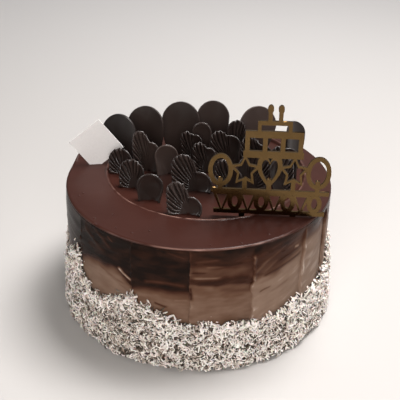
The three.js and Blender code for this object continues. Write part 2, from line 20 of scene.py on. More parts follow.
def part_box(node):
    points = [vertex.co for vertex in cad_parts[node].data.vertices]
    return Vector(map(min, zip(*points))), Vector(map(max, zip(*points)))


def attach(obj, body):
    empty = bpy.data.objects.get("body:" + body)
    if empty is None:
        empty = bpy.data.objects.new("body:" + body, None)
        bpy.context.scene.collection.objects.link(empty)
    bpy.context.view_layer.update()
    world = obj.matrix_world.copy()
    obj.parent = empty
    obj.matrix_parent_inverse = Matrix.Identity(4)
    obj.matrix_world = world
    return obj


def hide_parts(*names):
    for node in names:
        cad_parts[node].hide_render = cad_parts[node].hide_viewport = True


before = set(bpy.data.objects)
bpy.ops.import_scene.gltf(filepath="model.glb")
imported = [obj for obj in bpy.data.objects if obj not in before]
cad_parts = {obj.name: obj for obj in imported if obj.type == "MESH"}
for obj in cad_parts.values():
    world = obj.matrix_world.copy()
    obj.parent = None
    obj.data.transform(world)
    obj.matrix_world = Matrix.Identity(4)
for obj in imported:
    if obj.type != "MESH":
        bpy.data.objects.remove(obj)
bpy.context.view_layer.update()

# %% [markdown]
# ## Real sizes
#
# A cake is easier to think about in millimetres, so the sizes are kept in millimetres and each
# mesh is scaled to metres once, when it is made. They are the model's own sizes.

# %% Name the sizes, in millimetres and degrees
MM = 0.001

CAKE_RADIUS = 101
CAKE_HEIGHT = 101
SUNK_RADIUS = 76  # the glaze is lower inside this circle
SUNK_CENTRE = np.array([5.5, 14.0])
SUNK_DEPTH = 2
LIP_HEIGHT = 0.7  # the thin bead of glaze round that circle
LIP_WIDTH = 2.2
RIM_PEAK = {"at": -108.5, "rise": 4.2, "spread": 4.5}  # a torn tip of frosting

PER_DEGREE = math.radians(CAKE_RADIUS)  # distance along the side for each degree round it
STROKE_EDGES = [-55.9, -26.4, -3.0, 22.2, 48.6, 68.3]  # degrees from the front, to the right
HIDDEN_STROKES = 9
STROKE_RELIEF = 0.9  # out at the start of a stroke, and in at its end

COAT_FOOT = 5.5  # how far the coconut stands out at the foot
COAT_TOP = 2.2  # and just under its upper edge
COAT_SLOPE = 0.7  # below 1, so it draws in fastest near the foot
COAT_EDGE = 38  # height of the upper edge where it has no hump
COAT_RIPPLES = [(1.4, 11, 0), (0.9, 23, 40)]  # height, waves round the cake, and their shift
COAT_HUMPS = [
    (-62, 27, 7), (-26, 15, 11), (55, 3, 10), (96, 12, 13),
    (137, 5, 10), (178, 14, 14), (226, 8, 12), (262, 16, 9),
]  # where along the edge, how high and how wide

hidden_width = (360 - (STROKE_EDGES[-1] - STROKE_EDGES[0])) / HIDDEN_STROKES
STROKE_EDGES += [STROKE_EDGES[-1] + (i + 1) * hidden_width for i in range(HIDDEN_STROKES)]
print(len(STROKE_EDGES) - 1, "knife strokes go round the side")

# %% [markdown]
# ## Small helpers
#
# A few helpers are used all the way through. One turns a hex colour, as a painter would pick it,
# into the linear colour that Blender works in. One adds a node, with its settings and links. The
# next ones make a mesh from rows of points, store numbers on it, and make a piece with modifiers
# plain. The last give smooth bumps, and an unevenness that comes out the same on every run.

# %% Colours and nodes
def linear(code):
    """The linear colour of an sRGB hex code."""
    parts = [int(code[i:i + 2], 16) / 255 for i in (1, 3, 5)]
    return (*[p / 12.92 if p <= 0.04045 else ((p + 0.055) / 1.055) ** 2.4 for p in parts], 1)


def add(tree, kind, inputs=None, **settings):
    """Adds one node. settings are its own, and inputs holds a value or a link for each socket."""
    made = tree.nodes.new(kind)
    for name, value in settings.items():
        setattr(made, name, value)
    for socket, value in (inputs or {}).items():
        if isinstance(value, bpy.types.NodeSocket):
            tree.links.new(value, made.inputs[socket])
        else:
            made.inputs[socket].default_value = value
    return made


print("a middle grey, #808080, is", round(linear("#808080")[0], 3), "in linear light")


# %% Meshes, and numbers stored on them
def shown(name, mesh):
    """An object at the origin that shows a mesh."""
    made = bpy.data.objects.new(name, mesh)
    bpy.context.scene.collection.objects.link(made)
    return made


def mesh_of(name, points, faces, material=None, smooth=True):
    """A mesh object from points in millimetres."""
    mesh = bpy.data.meshes.new(name)
    mesh.from_pydata((np.asarray(points, float).reshape(-1, 3) * MM).tolist(), [], faces)
    mesh.polygons.foreach_set("use_smooth", [smooth] * len(mesh.polygons))
    if material:
        mesh.materials.append(material)
    return shown(name, mesh)


def grid_faces(rows, columns, closed):
    """The quads of points stored row by row. closed joins the last column to the first."""
    quads = []
    for i in range(rows - 1):
        for j in range(columns if closed else columns - 1):
            after = (j + 1) % columns
            quads.append((i * columns + j, i * columns + after,
                          (i + 1) * columns + after, (i + 1) * columns + j))
    return quads


def keep_attribute(piece, name, values):
    """Stores one number at each point, for a material or a scatter to read."""
    layer = piece.data.attributes.new(name, "FLOAT", "POINT")
    layer.data.foreach_set("value", np.asarray(values, np.float32).ravel())


def plain(piece):
    """Turns a piece with modifiers into a plain mesh."""
    graph = bpy.context.evaluated_depsgraph_get()
    mesh = bpy.data.meshes.new_from_object(piece.evaluated_get(graph), depsgraph=graph)
    piece.modifiers.clear()
    piece.data = mesh
    return piece


print("a grid of 3 by 4 points has", len(grid_faces(3, 4, False)), "quads")


# %% Smooth, repeatable unevenness
def ease(low, high, value):
    """0 below low, 1 above high, and a smooth step between them."""
    t = np.clip((np.asarray(value, float) - low) / (high - low), 0, 1)
    return t * t * (3 - 2 * t)


def unevenness(x, y, seed=0, repeat=0):
    """Smooth noise from -1 to 1, one cell wide. It can repeat along x after some cells."""
    x, y = np.broadcast_arrays(np.asarray(x, float), np.asarray(y, float))
    column, row = np.floor(x), np.floor(y)
    fx, fy = ease(0, 1, x - column), ease(0, 1, y - row)

    def corner(right, up):
        i = (column + right).astype(np.int64)
        if repeat:
            i = i % repeat
        j = (row + up).astype(np.int64)
        mixed = (i * 374761393 + j * 668265263 + seed * 974634777) & 0xFFFFFFFF
        mixed = ((mixed ^ (mixed >> 13)) * 1274126177) & 0xFFFFFFFF
        return ((mixed ^ (mixed >> 16)) & 0xFFFF) / 32767.5 - 1

    low = corner(0, 0) * (1 - fx) + corner(1, 0) * fx
    high = corner(0, 1) * (1 - fx) + corner(1, 1) * fx
    return low * (1 - fy) + high * fy


print("in the middle of a cell it is always", round(float(unevenness(0.5, 0.5)), 3))


# %% Directions round the cake
def bump(angle, at, spread):
    """A smooth bump of height 1 round a direction."""
    away = (np.asarray(angle, float) - at + 180) % 360 - 180
    return np.exp(-((away / spread) ** 2) / 2)


def coat_edge(angle):
    """Height of the coconut's upper edge."""
    turn = np.radians(np.asarray(angle, float))
    edge = COAT_EDGE
    for rise, waves, shift in COAT_RIPPLES:
        edge = edge + rise * np.sin(waves * turn + np.radians(shift))
    return edge + sum(rise * bump(angle, at, spread) for at, rise, spread in COAT_HUMPS)


def around(angle, radius, height, centre=(0.0, 0.0)):
    """Points at directions from the front, at distances from a centre."""
    turn = np.radians(angle)
    x = centre[0] + radius * np.sin(turn)
    y = centre[1] - radius * np.cos(turn)
    return np.stack(np.broadcast_arrays(x, y, height), -1)


print("coconut reaches", round(float(coat_edge(-62))), "mm up at its highest")

# %% [markdown]
# ## The camera
#
# The picture was taken from in front, looking 30 degrees down, with a lens that takes in 28
# degrees. Getting the camera right before anything else means that every later comparison with
# the picture is fair.

# %% Place the camera
CAMERA_AWAY = 540.2
CAMERA_UP = 395.2
LOOKING_DOWN = 30.24  # degrees
LOOKING_RIGHT = 0.12
HELD_ROUND = 0.763  # the picture is level to within a degree
SENSOR_WIDTH = 36
LENS = 72

camera_data = bpy.data.cameras.new("camera")
camera_data.sensor_width = SENSOR_WIDTH
camera_data.lens = LENS
camera = bpy.data.objects.new("camera", camera_data)
bpy.context.scene.collection.objects.link(camera)
aim = Matrix.Rotation(math.radians(-LOOKING_RIGHT), 4, "Z")
tip = Matrix.Rotation(math.radians(90 - LOOKING_DOWN), 4, "X")
roll = Matrix.Rotation(math.radians(HELD_ROUND), 4, "Z")
place = Matrix.Translation(Vector((0, -CAMERA_AWAY, CAMERA_UP)) * MM)
camera.matrix_world = place @ aim @ tip @ roll
bpy.context.scene.camera = camera
print("camera", round(math.hypot(CAMERA_AWAY, CAMERA_UP)), "mm from the cake's foot")

# %% [markdown]
# ## The studio
#
# Glossy chocolate shows its surroundings more than its own colour, so the surroundings are part
# of the look. The room behind the cake is pale and the room behind the camera is dark, or the
# black frosting would turn grey. A large soft light hangs over the right shoulder of the cake,
# which leaves its lower left in shade. The light in front is kept out of the reflections, as a
# photographer would do with a polarising sheet. Two windows do the opposite: they only show as
# reflections, and draw the bright lines on the edges of the chocolate.
#
# The floor is matt white, painted paler towards the back as painted light. It has to stay in the
# reflections, because the gold mirror film stands upright and has nothing else to show.

# %% The floor
FLOOR_REACH = 3000
FLOOR_PALER = (0.15, 1.4)  # metres behind the cake between which the floor turns paler

floor_paint = bpy.data.materials.new("floor_matt_white")
floor_paint.use_nodes = True
floor_tree = floor_paint.node_tree
floor_shader = floor_tree.nodes["Principled BSDF"]
floor_shader.inputs["Roughness"].default_value = 0.7
placed = add(floor_tree, "ShaderNodeSeparateXYZ", {
    0: add(floor_tree, "ShaderNodeTexCoord").outputs["Object"],
})
further = add(floor_tree, "ShaderNodeMapRange", {
    "Value": placed.outputs["Y"], "From Min": FLOOR_PALER[0], "From Max": FLOOR_PALER[1],
    "To Min": 0, "To Max": 1,
}, interpolation_type="SMOOTHSTEP")
paint = add(floor_tree, "ShaderNodeMix", {
    0: further.outputs[0], 6: linear("#bdbcba"), 7: linear("#ffffff"),
}, data_type="RGBA")  # painted light: the far floor gets less light, so it is painted whiter
floor_tree.links.new(paint.outputs[2], floor_shader.inputs["Base Color"])
corners = [(-1, -1, 0), (1, -1, 0), (1, 1, 0), (-1, 1, 0)]
floor = mesh_of("floor", np.array(corners) * FLOOR_REACH, [(0, 1, 2, 3)], floor_paint)
print("the floor reaches", 2 * FLOOR_REACH, "mm across")

# %% The room
world = bpy.data.worlds.new("pale_room")
bpy.context.scene.world = world
world.use_nodes = True
sky = world.node_tree
facing = add(sky, "ShaderNodeSeparateXYZ", {
    0: add(sky, "ShaderNodeTexCoord").outputs["Generated"],
})
towards_back = add(sky, "ShaderNodeMapRange", {
    "Value": facing.outputs["Y"], "From Min": -0.6, "From Max": 0.7, "To Min": 0, "To Max": 1,
}, interpolation_type="SMOOTHSTEP")
room = add(sky, "ShaderNodeMix", {
    0: towards_back.outputs[0], 6: linear("#4a4745"), 7: linear("#f0eeec"),
}, data_type="RGBA")
sky.links.new(room.outputs[2], sky.nodes["Background"].inputs["Color"])
towards_right = add(sky, "ShaderNodeMapRange", {
    "Value": facing.outputs["X"], "From Min": -0.5, "From Max": 0.15, "To Min": 0.2, "To Max": 0.42,
}, interpolation_type="SMOOTHSTEP")  # the room is darker to the left
sky.links.new(towards_right.outputs[0], sky.nodes["Background"].inputs["Strength"])
print(world.name, "is brightest behind the cake and to the right")


# %% The lights
def softbox(name, place, target, size, power, tint, reflected=True, lights=True):
    """A square soft light that faces a point. Places are in millimetres."""
    data = bpy.data.lights.new(name, "AREA")
    data.shape = "SQUARE"
    data.size = size * MM
    data.energy = power
    data.color = linear(tint)[:3]
    lamp = bpy.data.objects.new(name, data)
    bpy.context.scene.collection.objects.link(lamp)
    away = Vector(place) - Vector(target)
    lamp.location = Vector(place) * MM
    lamp.rotation_euler = away.to_track_quat("Z", "Y").to_euler()
    lamp.visible_glossy = reflected
    lamp.visible_diffuse = lights
    return lamp


softbox("key", (260, 160, 950), (0, 0, 60), 420, 15, "#fffaf8")
softbox("front_fill", (-60, -900, 480), (0, 0, 50), 700, 8, "#fff8f4", reflected=False)
softbox("left_window", (-760, -380, 620), (0, 0, 110), 360, 3.2, "#f6f4f4", lights=False)
softbox("right_window", (720, -460, 620), (0, 0, 110), 360, 5, "#f6f4f4", lights=False)
print("two soft lights and two windows")

# %% [markdown]
# ## Chocolate and buttercream
#
# Poured ganache is cream and chocolate. It sets to a smooth, slightly soft gloss with an index
# of refraction near 1.45, so it needs a low roughness and almost no texture. Its colour is a
# very dark red brown, and what lights it up is the reflection of the pale room.
#
# The side is the same ganache pulled over paler chocolate buttercream. Where the knife wiped it
# thin, the paler frosting shows through in streaks. A number called tone, stored at each point
# of the mesh, says how pale the frosting is there, and fine noise along the stroke breaks it up.
#
# Every finish starts from one Principled shader. The plainer ones share a recipe: one fine
# pattern gives both the change of colour and the relief.

# %% Helpers for the materials
def finish(name, **sockets):
    """A material with a Principled shader. Values that are the same all over go on its sockets."""
    made = bpy.data.materials.new(name)
    made.use_nodes = True
    shader = made.node_tree.nodes["Principled BSDF"]
    for socket, value in sockets.items():
        shader.inputs[socket.replace("_", " ")].default_value = value
    return made, made.node_tree, shader


def speckled_finish(name, per_metre, dark, light, depth, strength, **sockets):
    """A finish with one fine pattern, so many specks to the metre and so many millimetres deep."""
    made, tree, shader = finish(name, **sockets)
    where = add(tree, "ShaderNodeTexCoord").outputs["Object"]
    specks = add(tree, "ShaderNodeTexNoise", {"Vector": where, "Scale": per_metre, "Detail": 2.0})
    mixed = add(tree, "ShaderNodeMix", {
        0: specks.outputs["Fac"], 6: linear(dark), 7: linear(light),
    }, data_type="RGBA")
    tree.links.new(mixed.outputs[2], shader.inputs["Base Color"])
    relief = add(tree, "ShaderNodeBump", {
        "Height": specks.outputs["Fac"], "Distance": depth * MM, "Strength": strength,
    })
    tree.links.new(relief.outputs[0], shader.inputs["Normal"])
    return made


# %% Poured ganache for the top
ganache, tree, shader = finish(
    "poured_dark_ganache", Roughness=0.28, IOR=1.45, Specular_IOR_Level=0.17)
where = add(tree, "ShaderNodeTexCoord").outputs["Object"]
# 28 clouds to the metre make each about 36 mm wide, and the ripples are about 18 mm wide.
cloud = add(tree, "ShaderNodeTexNoise", {"Vector": where, "Scale": 28.0, "Detail": 3.0})
brown = add(tree, "ShaderNodeMix", {
    0: cloud.outputs["Fac"], 6: linear("#311a15"), 7: linear("#3d221c"),
}, data_type="RGBA")
fan_shaded_brown = add(tree, "ShaderNodeMix", {
    0: add(tree, "ShaderNodeAttribute", attribute_name="painted_fan_shade").outputs["Fac"],
    6: brown.outputs[2], 7: linear("#1c110e"),
}, data_type="RGBA")  # painted shade: the glaze between the crowded fans is painted darker, as shade
edged = add(tree, "ShaderNodeMix", {
    0: add(tree, "ShaderNodeAttribute", attribute_name="painted_highlight").outputs["Fac"],
    6: fan_shaded_brown.outputs[2], 7: linear("#a88579"),
}, data_type="RGBA")  # painted highlight: a pale line is painted along the lip, where it catches the light
tree.links.new(edged.outputs[2], shader.inputs["Base Color"])
ripple = add(tree, "ShaderNodeTexNoise", {"Vector": where, "Scale": 55.0, "Detail": 2.0})
relief = add(tree, "ShaderNodeBump", {
    "Height": ripple.outputs["Fac"], "Distance": 0.0006, "Strength": 0.35,
})
tree.links.new(relief.outputs[0], shader.inputs["Normal"])
print(ganache.name)

# %% Ganache wiped over buttercream, for the side: its streaks
STREAKS_ALONG, STREAKS_UP = 0.06, 0.14  # to the millimetre: each is about 17 mm long and 7 high

frosting_finish, tree, shader = finish("knife_streaked_buttercream", IOR=1.45)
stored = {
    name: add(tree, "ShaderNodeAttribute", attribute_name=name).outputs["Fac"]
    for name in ("gloss", "along", "across", "tone")
}
tree.links.new(stored["gloss"], shader.inputs["Specular IOR Level"])  # the knife left some dull
scaled = [
    add(tree, "ShaderNodeMath", {0: stored[name], 1: rate}, operation="MULTIPLY").outputs[0]
    for name, rate in (("along", STREAKS_ALONG), ("across", STREAKS_UP))
]
stretched = add(tree, "ShaderNodeCombineXYZ", {"X": scaled[0], "Y": scaled[1]})
streaks = add(tree, "ShaderNodeTexNoise", {
    "Vector": stretched.outputs[0], "Scale": 1.0, "Detail": 2.0, "Roughness": 0.5,
})
shaken = add(tree, "ShaderNodeMapRange", {
    "Value": streaks.outputs["Fac"], "From Min": 0.25, "From Max": 0.75,
    "To Min": -0.1, "To Max": 0.1,
})
streaked = add(
    tree, "ShaderNodeMath", {0: stored["tone"], 1: shaken.outputs[0]}, operation="ADD")
print(frosting_finish.name, "reads", ", ".join(stored))

# %% Its colour, gloss and relief
FROSTING_TONES = {
    0.0: "#170e0a", 0.26: "#3e2419", 0.51: "#5f4536", 0.85: "#867061", 1.0: "#b3a498",
}  # from bare ganache to bare buttercream, and the palest stop also serves painted highlights

mixed = add(tree, "ShaderNodeValToRGB", {"Fac": streaked.outputs[0]})
stops = mixed.color_ramp.elements
while len(stops) < len(FROSTING_TONES):
    stops.new(0.5)
for stop, (at, code) in zip(stops, FROSTING_TONES.items()):
    stop.position = at
    stop.color = linear(code)
tree.links.new(mixed.outputs[0], shader.inputs["Base Color"])
dull = add(tree, "ShaderNodeMapRange", {
    "Value": streaked.outputs[0], "From Min": 0.1, "From Max": 0.8, "To Min": 0.24, "To Max": 0.5,
})
tree.links.new(dull.outputs[0], shader.inputs["Roughness"])
relief = add(tree, "ShaderNodeBump", {
    "Height": streaks.outputs["Fac"], "Distance": 0.0006, "Strength": 0.2,
})
tree.links.new(relief.outputs[0], shader.inputs["Normal"])
print(len(stops), "tones from ganache to buttercream")

# %% [markdown]
# ## The frosted side
#
# The side could be a cylinder with a bump map, but the knife left steps nearly two millimetres
# deep that show in the outline. So it is a dense grid wrapped round the cake, and each point is
# moved out or in by a rule: proud where a stroke starts, pressed in where it ends, with a torn
# lip of frosting at the start and fine ridges along the way.
#
# The tone of each stroke was read off as a few heights where the colour changes.

# %% Lay out the columns, stroke by stroke
SIDE_COLUMNS = 960
CROWDING = 1.15  # above 1, so columns lie closer together at the torn lip
STREAK_TILT = [0.02, -0.03, 0.02, 0.16, 0.10, 0.04, -0.05]  # rise for each mm along the stroke

columns = {"angle": [], "share": [], "stroke": []}
for stroke in range(len(STROKE_EDGES) - 1):
    start, end = STROKE_EDGES[stroke:stroke + 2]
    count = round(SIDE_COLUMNS * (end - start) / 360)
    share = np.linspace(0, 1, count, endpoint=False) ** CROWDING
    columns["angle"] += list(start + share * (end - start))
    columns["share"] += list(share)
    columns["stroke"] += [stroke] * count
angle, share, stroke = (np.array(columns[key]) for key in ("angle", "share", "stroke"))
stroke_width = np.diff(STROKE_EDGES)[stroke] * PER_DEGREE
run = share * stroke_width
tilt = np.array([STREAK_TILT[i % len(STREAK_TILT)] for i in range(len(STROKE_EDGES) - 1)])[stroke]
print(len(angle), "columns, one every", round(2 * math.pi * CAKE_RADIUS / len(angle), 2), "mm")

# %% Say how pale each stroke is
# For each stroke: the lower edge of the dark layer, as (share along the stroke, height), then
# what lies round that edge, as (height above it, tone).
STROKE_TONES = {
    0: ([(0, 68), (0.39, 73.8), (0.66, 73.5), (0.8, 71.3), (0.95, 64), (1, 60)],
        [(-14, 0.88), (-8, 0.84), (-4.5, 0.62), (-1.5, 0.24), (1, 0.04), (40, 0)]),
    1: ([(0, 61), (0.25, 64.7), (0.5, 66.3), (0.75, 65.5), (1, 64.7)],
        [(-14, 0.72), (-6, 0.66), (-2.5, 0.56), (0, 0.3), (2, 0.08), (7, 0.03), (40, 0.02)]),
    2: ([(0, 72.5), (0.5, 71), (1, 68)],
        [(-16, 0.72), (-8, 0.66), (-3, 0.58), (-0.8, 0.5), (1, 0.2), (4.5, 0.2), (6.5, 0.42),
         (12, 0.38), (16, 0.28), (20, 0.2), (25, 0.13), (30, 0.04)]),
    3: ([(0, 70.8), (0.38, 70.5), (0.67, 72.6), (1, 76)],
        [(-16, 0.96), (-6, 0.9), (-2, 0.8), (0.5, 0.56), (3, 0.38), (8, 0.32), (14, 0.28),
         (20, 0.2), (26, 0.06)]),
    4: ([(0, 87), (1, 82)], [(-20, 1), (-4, 0.95), (-1, 0.84), (2, 0.5), (6, 0.28), (14, 0.1)]),
    5: ([(0, 86), (1, 84)], [(-16, 0.95), (-2, 0.8), (3, 0.4), (10, 0.15)]),
    6: ([(0, 76), (1, 74)], [(-14, 0.85), (-4, 0.7), (0, 0.4), (4, 0.12), (20, 0.02)]),
    13: ([(0, 58), (1, 60)], [(-8, 0.4), (-2, 0.3), (3, 0.14), (14, 0.06), (40, 0.03)]),
}


def tone_of(stroke_number, stroke_share, height):
    """How pale the frosting is, from 0 for dark ganache to 1 for buttercream."""
    pick = stroke_number if stroke_number in STROKE_TONES else stroke_number % 5
    edge, steps = STROKE_TONES[pick]
    above = height - np.interp(stroke_share, *zip(*edge))
    return np.interp(above, *zip(*steps))


print(len(STROKE_TONES), "strokes have tones of their own, and the rest repeat them")

# %% List the smears that the knife dragged across
# Each runs from one place to another, as (degrees, height), with half its width in mm, its tone
# and how far it stands out.
SMEARS = [
    # The first smear is a painted highlight along a raised ridge.
    ((-33.2, 74.1), (-27.2, 67), 1.0, 1.7, 0.9), ((-29.6, 65.6), (-27.8, 63), 0.7, 0.2, 0.5),
    ((-27, 61.4), (-25.8, 58), 0.7, 0.22, 0.5), ((-25.2, 55.2), (-24.2, 52.6), 0.6, 0.2, 0.4),
    ((-46, 69.5), (-31, 61.5), 1.0, 0.62, 0.1), ((-40, 66), (-29.5, 57.5), 0.8, 0.72, 0.1),
    ((-52, 95), (-41, 82), 1.6, 0.16, 0.3), ((-45, 98), (-37, 88), 1.2, 0.2, 0.3),
    ((-38, 97.5), (-35.4, 94), 0.7, 0.42, 0.4),
    ((-21, 70.6), (-12.7, 72), 1.3, 0.36, 0.3), ((-12.7, 72), (-4.8, 69.6), 1.3, 0.3, 0.3),
    # The second smear on the next line is a painted highlight on the grey patch.
    ((-15.5, 95.5), (-4.5, 93), 3, 0.16, 0.2), ((-12, 97.4), (-5.5, 93.8), 0.8, 0.28, 0.3),
    ((-16.5, 99.4), (-5, 98.6), 0.7, 0.2, 0.2), ((-17.2, 53.6), (-12.2, 51.4), 0.7, 0.1, -0.3),
    ((-9, 57.5), (-4, 58.5), 1, 0.82, 0.1), ((-24, 58), (-15, 60), 1.4, 0.76, 0.1),
    ((-0.5, 97.6), (9, 94.8), 1.9, 0, 0), ((0, 100), (7, 100.4), 0.7, 0.34, 0.2),
    ((-1, 91.5), (8, 92), 0.9, 0.42, 0.2), ((3, 89.2), (20.4, 86.7), 0.9, 0.14, 0),
    ((-1, 85), (20.6, 81.6), 2, 0.48, 0.1), ((-2.6, 82.6), (3, 82.4), 0.5, 0.12, 0),
    ((3.5, 86.6), (10, 86.4), 0.5, 0.62, 0.2), ((-1.4, 78), (8.2, 78), 0.8, 0.9, 0.3),
    ((10, 76.6), (20.8, 74.4), 1.6, 0.16, 0), ((8.8, 67.6), (21, 63.8), 2, 0.42, 0),
    ((-1.5, 70.8), (6, 69.4), 2, 0.66, 0), ((10, 61.5), (20, 59.5), 1.2, 0.6, 0),
    ((-3, 70), (-2.2, 60), 1, 0.1, -0.3),
    ((23.2, 78), (29.2, 86.5), 1.1, 0.54, 0.3), ((29.2, 86.5), (36.5, 91.2), 0.9, 0.5, 0.2),
    ((26, 76), (33, 83), 0.9, 0.5, 0.2), ((28, 92), (40, 93.5), 1.2, 0.14, 0),
    ((27, 73.4), (34.5, 75.8), 1.1, 0.2, 0), ((34.5, 75.8), (46, 78.6), 1.3, 0.18, 0),
    ((34, 81.5), (46, 84.5), 0.9, 0.22, 0), ((38, 88), (46.5, 90), 1, 0.42, 0.1),
    ((24, 66), (37, 69), 1, 1, 0.2), ((34, 64.4), (46, 68.6), 1.4, 1, 0.1),
    ((25.2, 60.4), (30.4, 62.6), 0.8, 0.5, 0), ((31, 58), (40, 61), 1, 0.78, 0),
    ((42.5, 86.4), (45, 85.8), 0.9, 1, 0.5), ((43, 66), (47.4, 67.4), 1, 1, 0.4),
    ((50, 76), (60, 73), 1.6, 0.86, 0), ((52, 70), (63, 66), 1.2, 1, 0.1),
    ((66.6, 93), (67.6, 50), 1.1, 0.1, -0.2), ((62, 90), (63.4, 62), 0.9, 0.84, 0.2),
    ((-73, 92), (-68, 62), 1.3, 0.26, 0.3), ((-67, 95), (-62, 64), 1.0, 0.05, 0),
    ((-64, 96), (-58.6, 68), 1.2, 0.22, 0.3), ((-59.6, 92), (-56.6, 66), 0.8, 0.05, 0),
]
HIDDEN_SMEARS = 8  # for each stroke out of sight

draw = np.random.default_rng(17)
for first, last in zip(STROKE_EDGES[6:-2], STROKE_EDGES[7:-1]):
    for _ in range(HIDDEN_SMEARS):
        starts = first + (last - first) * draw.uniform(0.02, 0.5)
        level = draw.uniform(54, 96)
        reach = (last - starts) * draw.uniform(0.5, 1)
        SMEARS.append(((starts, level), (starts + reach, level + draw.uniform(-3, 6)),
                       draw.uniform(0.7, 1.8), draw.uniform(0.1, 0.9), draw.uniform(0, 0.3)))
print(len(SMEARS), "smears")

# %% Let the edges of the strokes wander
WALL_FOOT = 26  # the coconut hides the wall below this
WALL_TOP = CAKE_HEIGHT - 1.2
WALL_ROWS = 98
RIM_BLEND = (89, 99)  # heights between which the strokes fade out
EDGE_WANDER = [(1.3, 8, 90), (0.7, 2.7, 91)]  # how far, over what height, and a seed
WANDER_REACH = 4.5  # how far from an edge the columns still move with it

height = np.linspace(WALL_FOOT, WALL_TOP, WALL_ROWS)[:, None]
below_rim = 1 - ease(*RIM_BLEND, height)  # the rim itself was wiped to a smooth circle

# No knife leaves a straight edge, so the columns near one wander to and fro with the height.
to_edge = np.minimum(run, stroke_width - run)
nearest = (stroke + (share > 0.5)) % (len(STROKE_EDGES) - 1)
wandering = 0
for far, over, seed in EDGE_WANDER:
    wandering = wandering + far * unevenness(5.3 * nearest, height / over, seed)
column_angle = angle + np.degrees(
    wandering * np.exp(-((to_edge / WANDER_REACH) ** 2)) * below_rim / CAKE_RADIUS)
print("an edge wanders by up to", round(float(np.abs(wandering).max()), 1), "mm")

# %% Colour the strokes and drag the smears across them
across = height - tilt * run
wander = 1.6 * unevenness(run / 9, height / 14, stroke)
tone = np.empty((WALL_ROWS, len(angle)))
for number in range(len(STROKE_EDGES) - 1):
    chosen = stroke == number
    tone[:, chosen] = tone_of(number, share[chosen], (across + wander)[:, chosen])
standing = np.zeros_like(tone)
place = PER_DEGREE * column_angle
shaky = 1.2 * unevenness(place / 6, height / 4, 71)
for (start_at, start_up), (end_at, end_up), half_width, shade, raised in SMEARS:
    start = np.array([PER_DEGREE * start_at, start_up])
    way = np.array([PER_DEGREE * end_at, end_up]) - start
    length = np.hypot(*way)
    onward = ((place - start[0]) * way[0] + (height - start[1]) * way[1]) / length ** 2
    aside = ((place - start[0]) * way[1] - (height - start[1]) * way[0]) / length + 0.4 * shaky
    fade = ease(-0.12, 0.12, onward) * (1 - ease(0.85, 1.15, onward))
    weight = np.exp(-((aside / half_width) ** 2)) * fade * (0.85 + 0.15 * shaky)
    tone += (shade - tone) * weight
    standing += raised * weight
print("the smears stand out by up to", round(float(standing.max()), 1), "mm")

# %% Tear the starts of the strokes, and work out how far the wall stands out
LIP = 0.9  # how far the torn lip at the start of a stroke stands out
LIP_REACH = 1.3  # and how far along the stroke it goes
TORN_LIPS = [0.6, 0.3, 1.3, 1.2, 0.6, 0.35, 0.3]  # how much of it each stroke has
GAP_REACH = 1.2  # the end of a stroke is painted dark for this far, as shade beside the next lip
FINE_RIDGES, SLOW_WAVES = 0.07, 0.3
WIPED_THIN = 0.35  # how much the knife took off where the buttercream shows
TONE_DEPTH = 0.85  # below 1, so the whole side is a little darker than its tones say

ragged = 0.5 + 0.5 * unevenness(0, height / 2.4, stroke)
strength = np.array(TORN_LIPS)[stroke % len(TORN_LIPS)]
torn = strength * np.exp(-((run / LIP_REACH) ** 2)) * (0.1 + 0.9 * ragged ** 1.5)
torn = torn * (0.3 + 0.7 * ease(56, 68, height))  # lower down the strokes ran together
wall = (
    CAKE_RADIUS
    + STROKE_RELIEF * (1 - 2 * share) * below_rim
    + LIP * torn * below_rim
    + standing
    + FINE_RIDGES * unevenness(run / 30, across / 2.1, stroke + 20)
    + SLOW_WAVES * unevenness(run / 18, across / 9, stroke + 40) * below_rim
    - WIPED_THIN * ease(0.05, 0.5, tone)
)
# painted shade: the end of each stroke is painted darker beside the next lip; the torn lips are
# painted paler, partly pale torn buttercream and partly painted highlight on their beads
painted_seam_shade = np.exp(-(((stroke_width - run) / GAP_REACH) ** 2)) * below_rim * ease(58, 70, height)
tone = np.clip(TONE_DEPTH * (tone * (1 - 0.45 * painted_seam_shade) + 0.45 * torn * ragged), 0, 1)
print("the wall runs from", round(wall.min(), 1), "to", round(wall.max(), 1), "mm out")

# %% Close the wall into a solid and store its tone
GLOSS = 0.07
DULL_PATCH = {"at": -74, "spread": 13, "less": 0.06}  # the knife left the far left dull

foot = wall[0]
top = wall[-1]
rows = [
    around(angle, 0 * foot, 0),
    around(angle, foot - 3, 0),
    around(angle, foot, 6),
    *[around(column_angle[i], wall[i], height[i]) for i in range(WALL_ROWS)],
    around(angle, top - 2.5, WALL_TOP - 1),
    around(angle, 0 * top, WALL_TOP - 1.5),
]
side = mesh_of("frosted_side", rows, grid_faces(len(rows), len(angle), True), frosting_finish)
blank = np.zeros((3, len(angle)))
dulled = DULL_PATCH["less"] * bump(angle, DULL_PATCH["at"], DULL_PATCH["spread"])
gloss = GLOSS - dulled + 0 * tone
for name, values in {
    "tone": tone, "along": run + 0 * tone, "across": across + 7 * stroke, "gloss": gloss,
}.items():
    keep_attribute(side, name, np.concatenate([blank, values, blank[:2]]))
print("the side has", len(side.data.polygons), "faces")

# %% [markdown]
# ## The poured top
#
# The chocolate on top stopped in a crescent: outside an off-centre circle it lies two
# millimetres higher, and a fine bead runs along that edge. The top is a second grid that starts
# exactly where the side ends, so no gap shows, and its rows slide from circles round the cake's
# middle to circles round the sunk part's middle.

# %% Pour the top
# Each profile is a list of (distance, height), from the rim or from the sunk circle.
RIM_PROFILE = [(0, -1.2), (0.35, -0.45), (1.1, 0.02), (2.1, 0.05), (3.4, 0), (5, 0)]
BEAD_PROFILE = [(2.2, 0.1), (1.75, 0.75), (1.3, 1), (0.8, 0.8), (0.3, 0.1)]  # shares of its rise
STEP_PROFILE = [(-0.1, -1), (-0.6, -1.7), (-1.6, -1.95), (-3.5, -2)]
SWELL, DIP = 0.16, 0.15  # how uneven the glaze lies, on the crescent and inside the circle

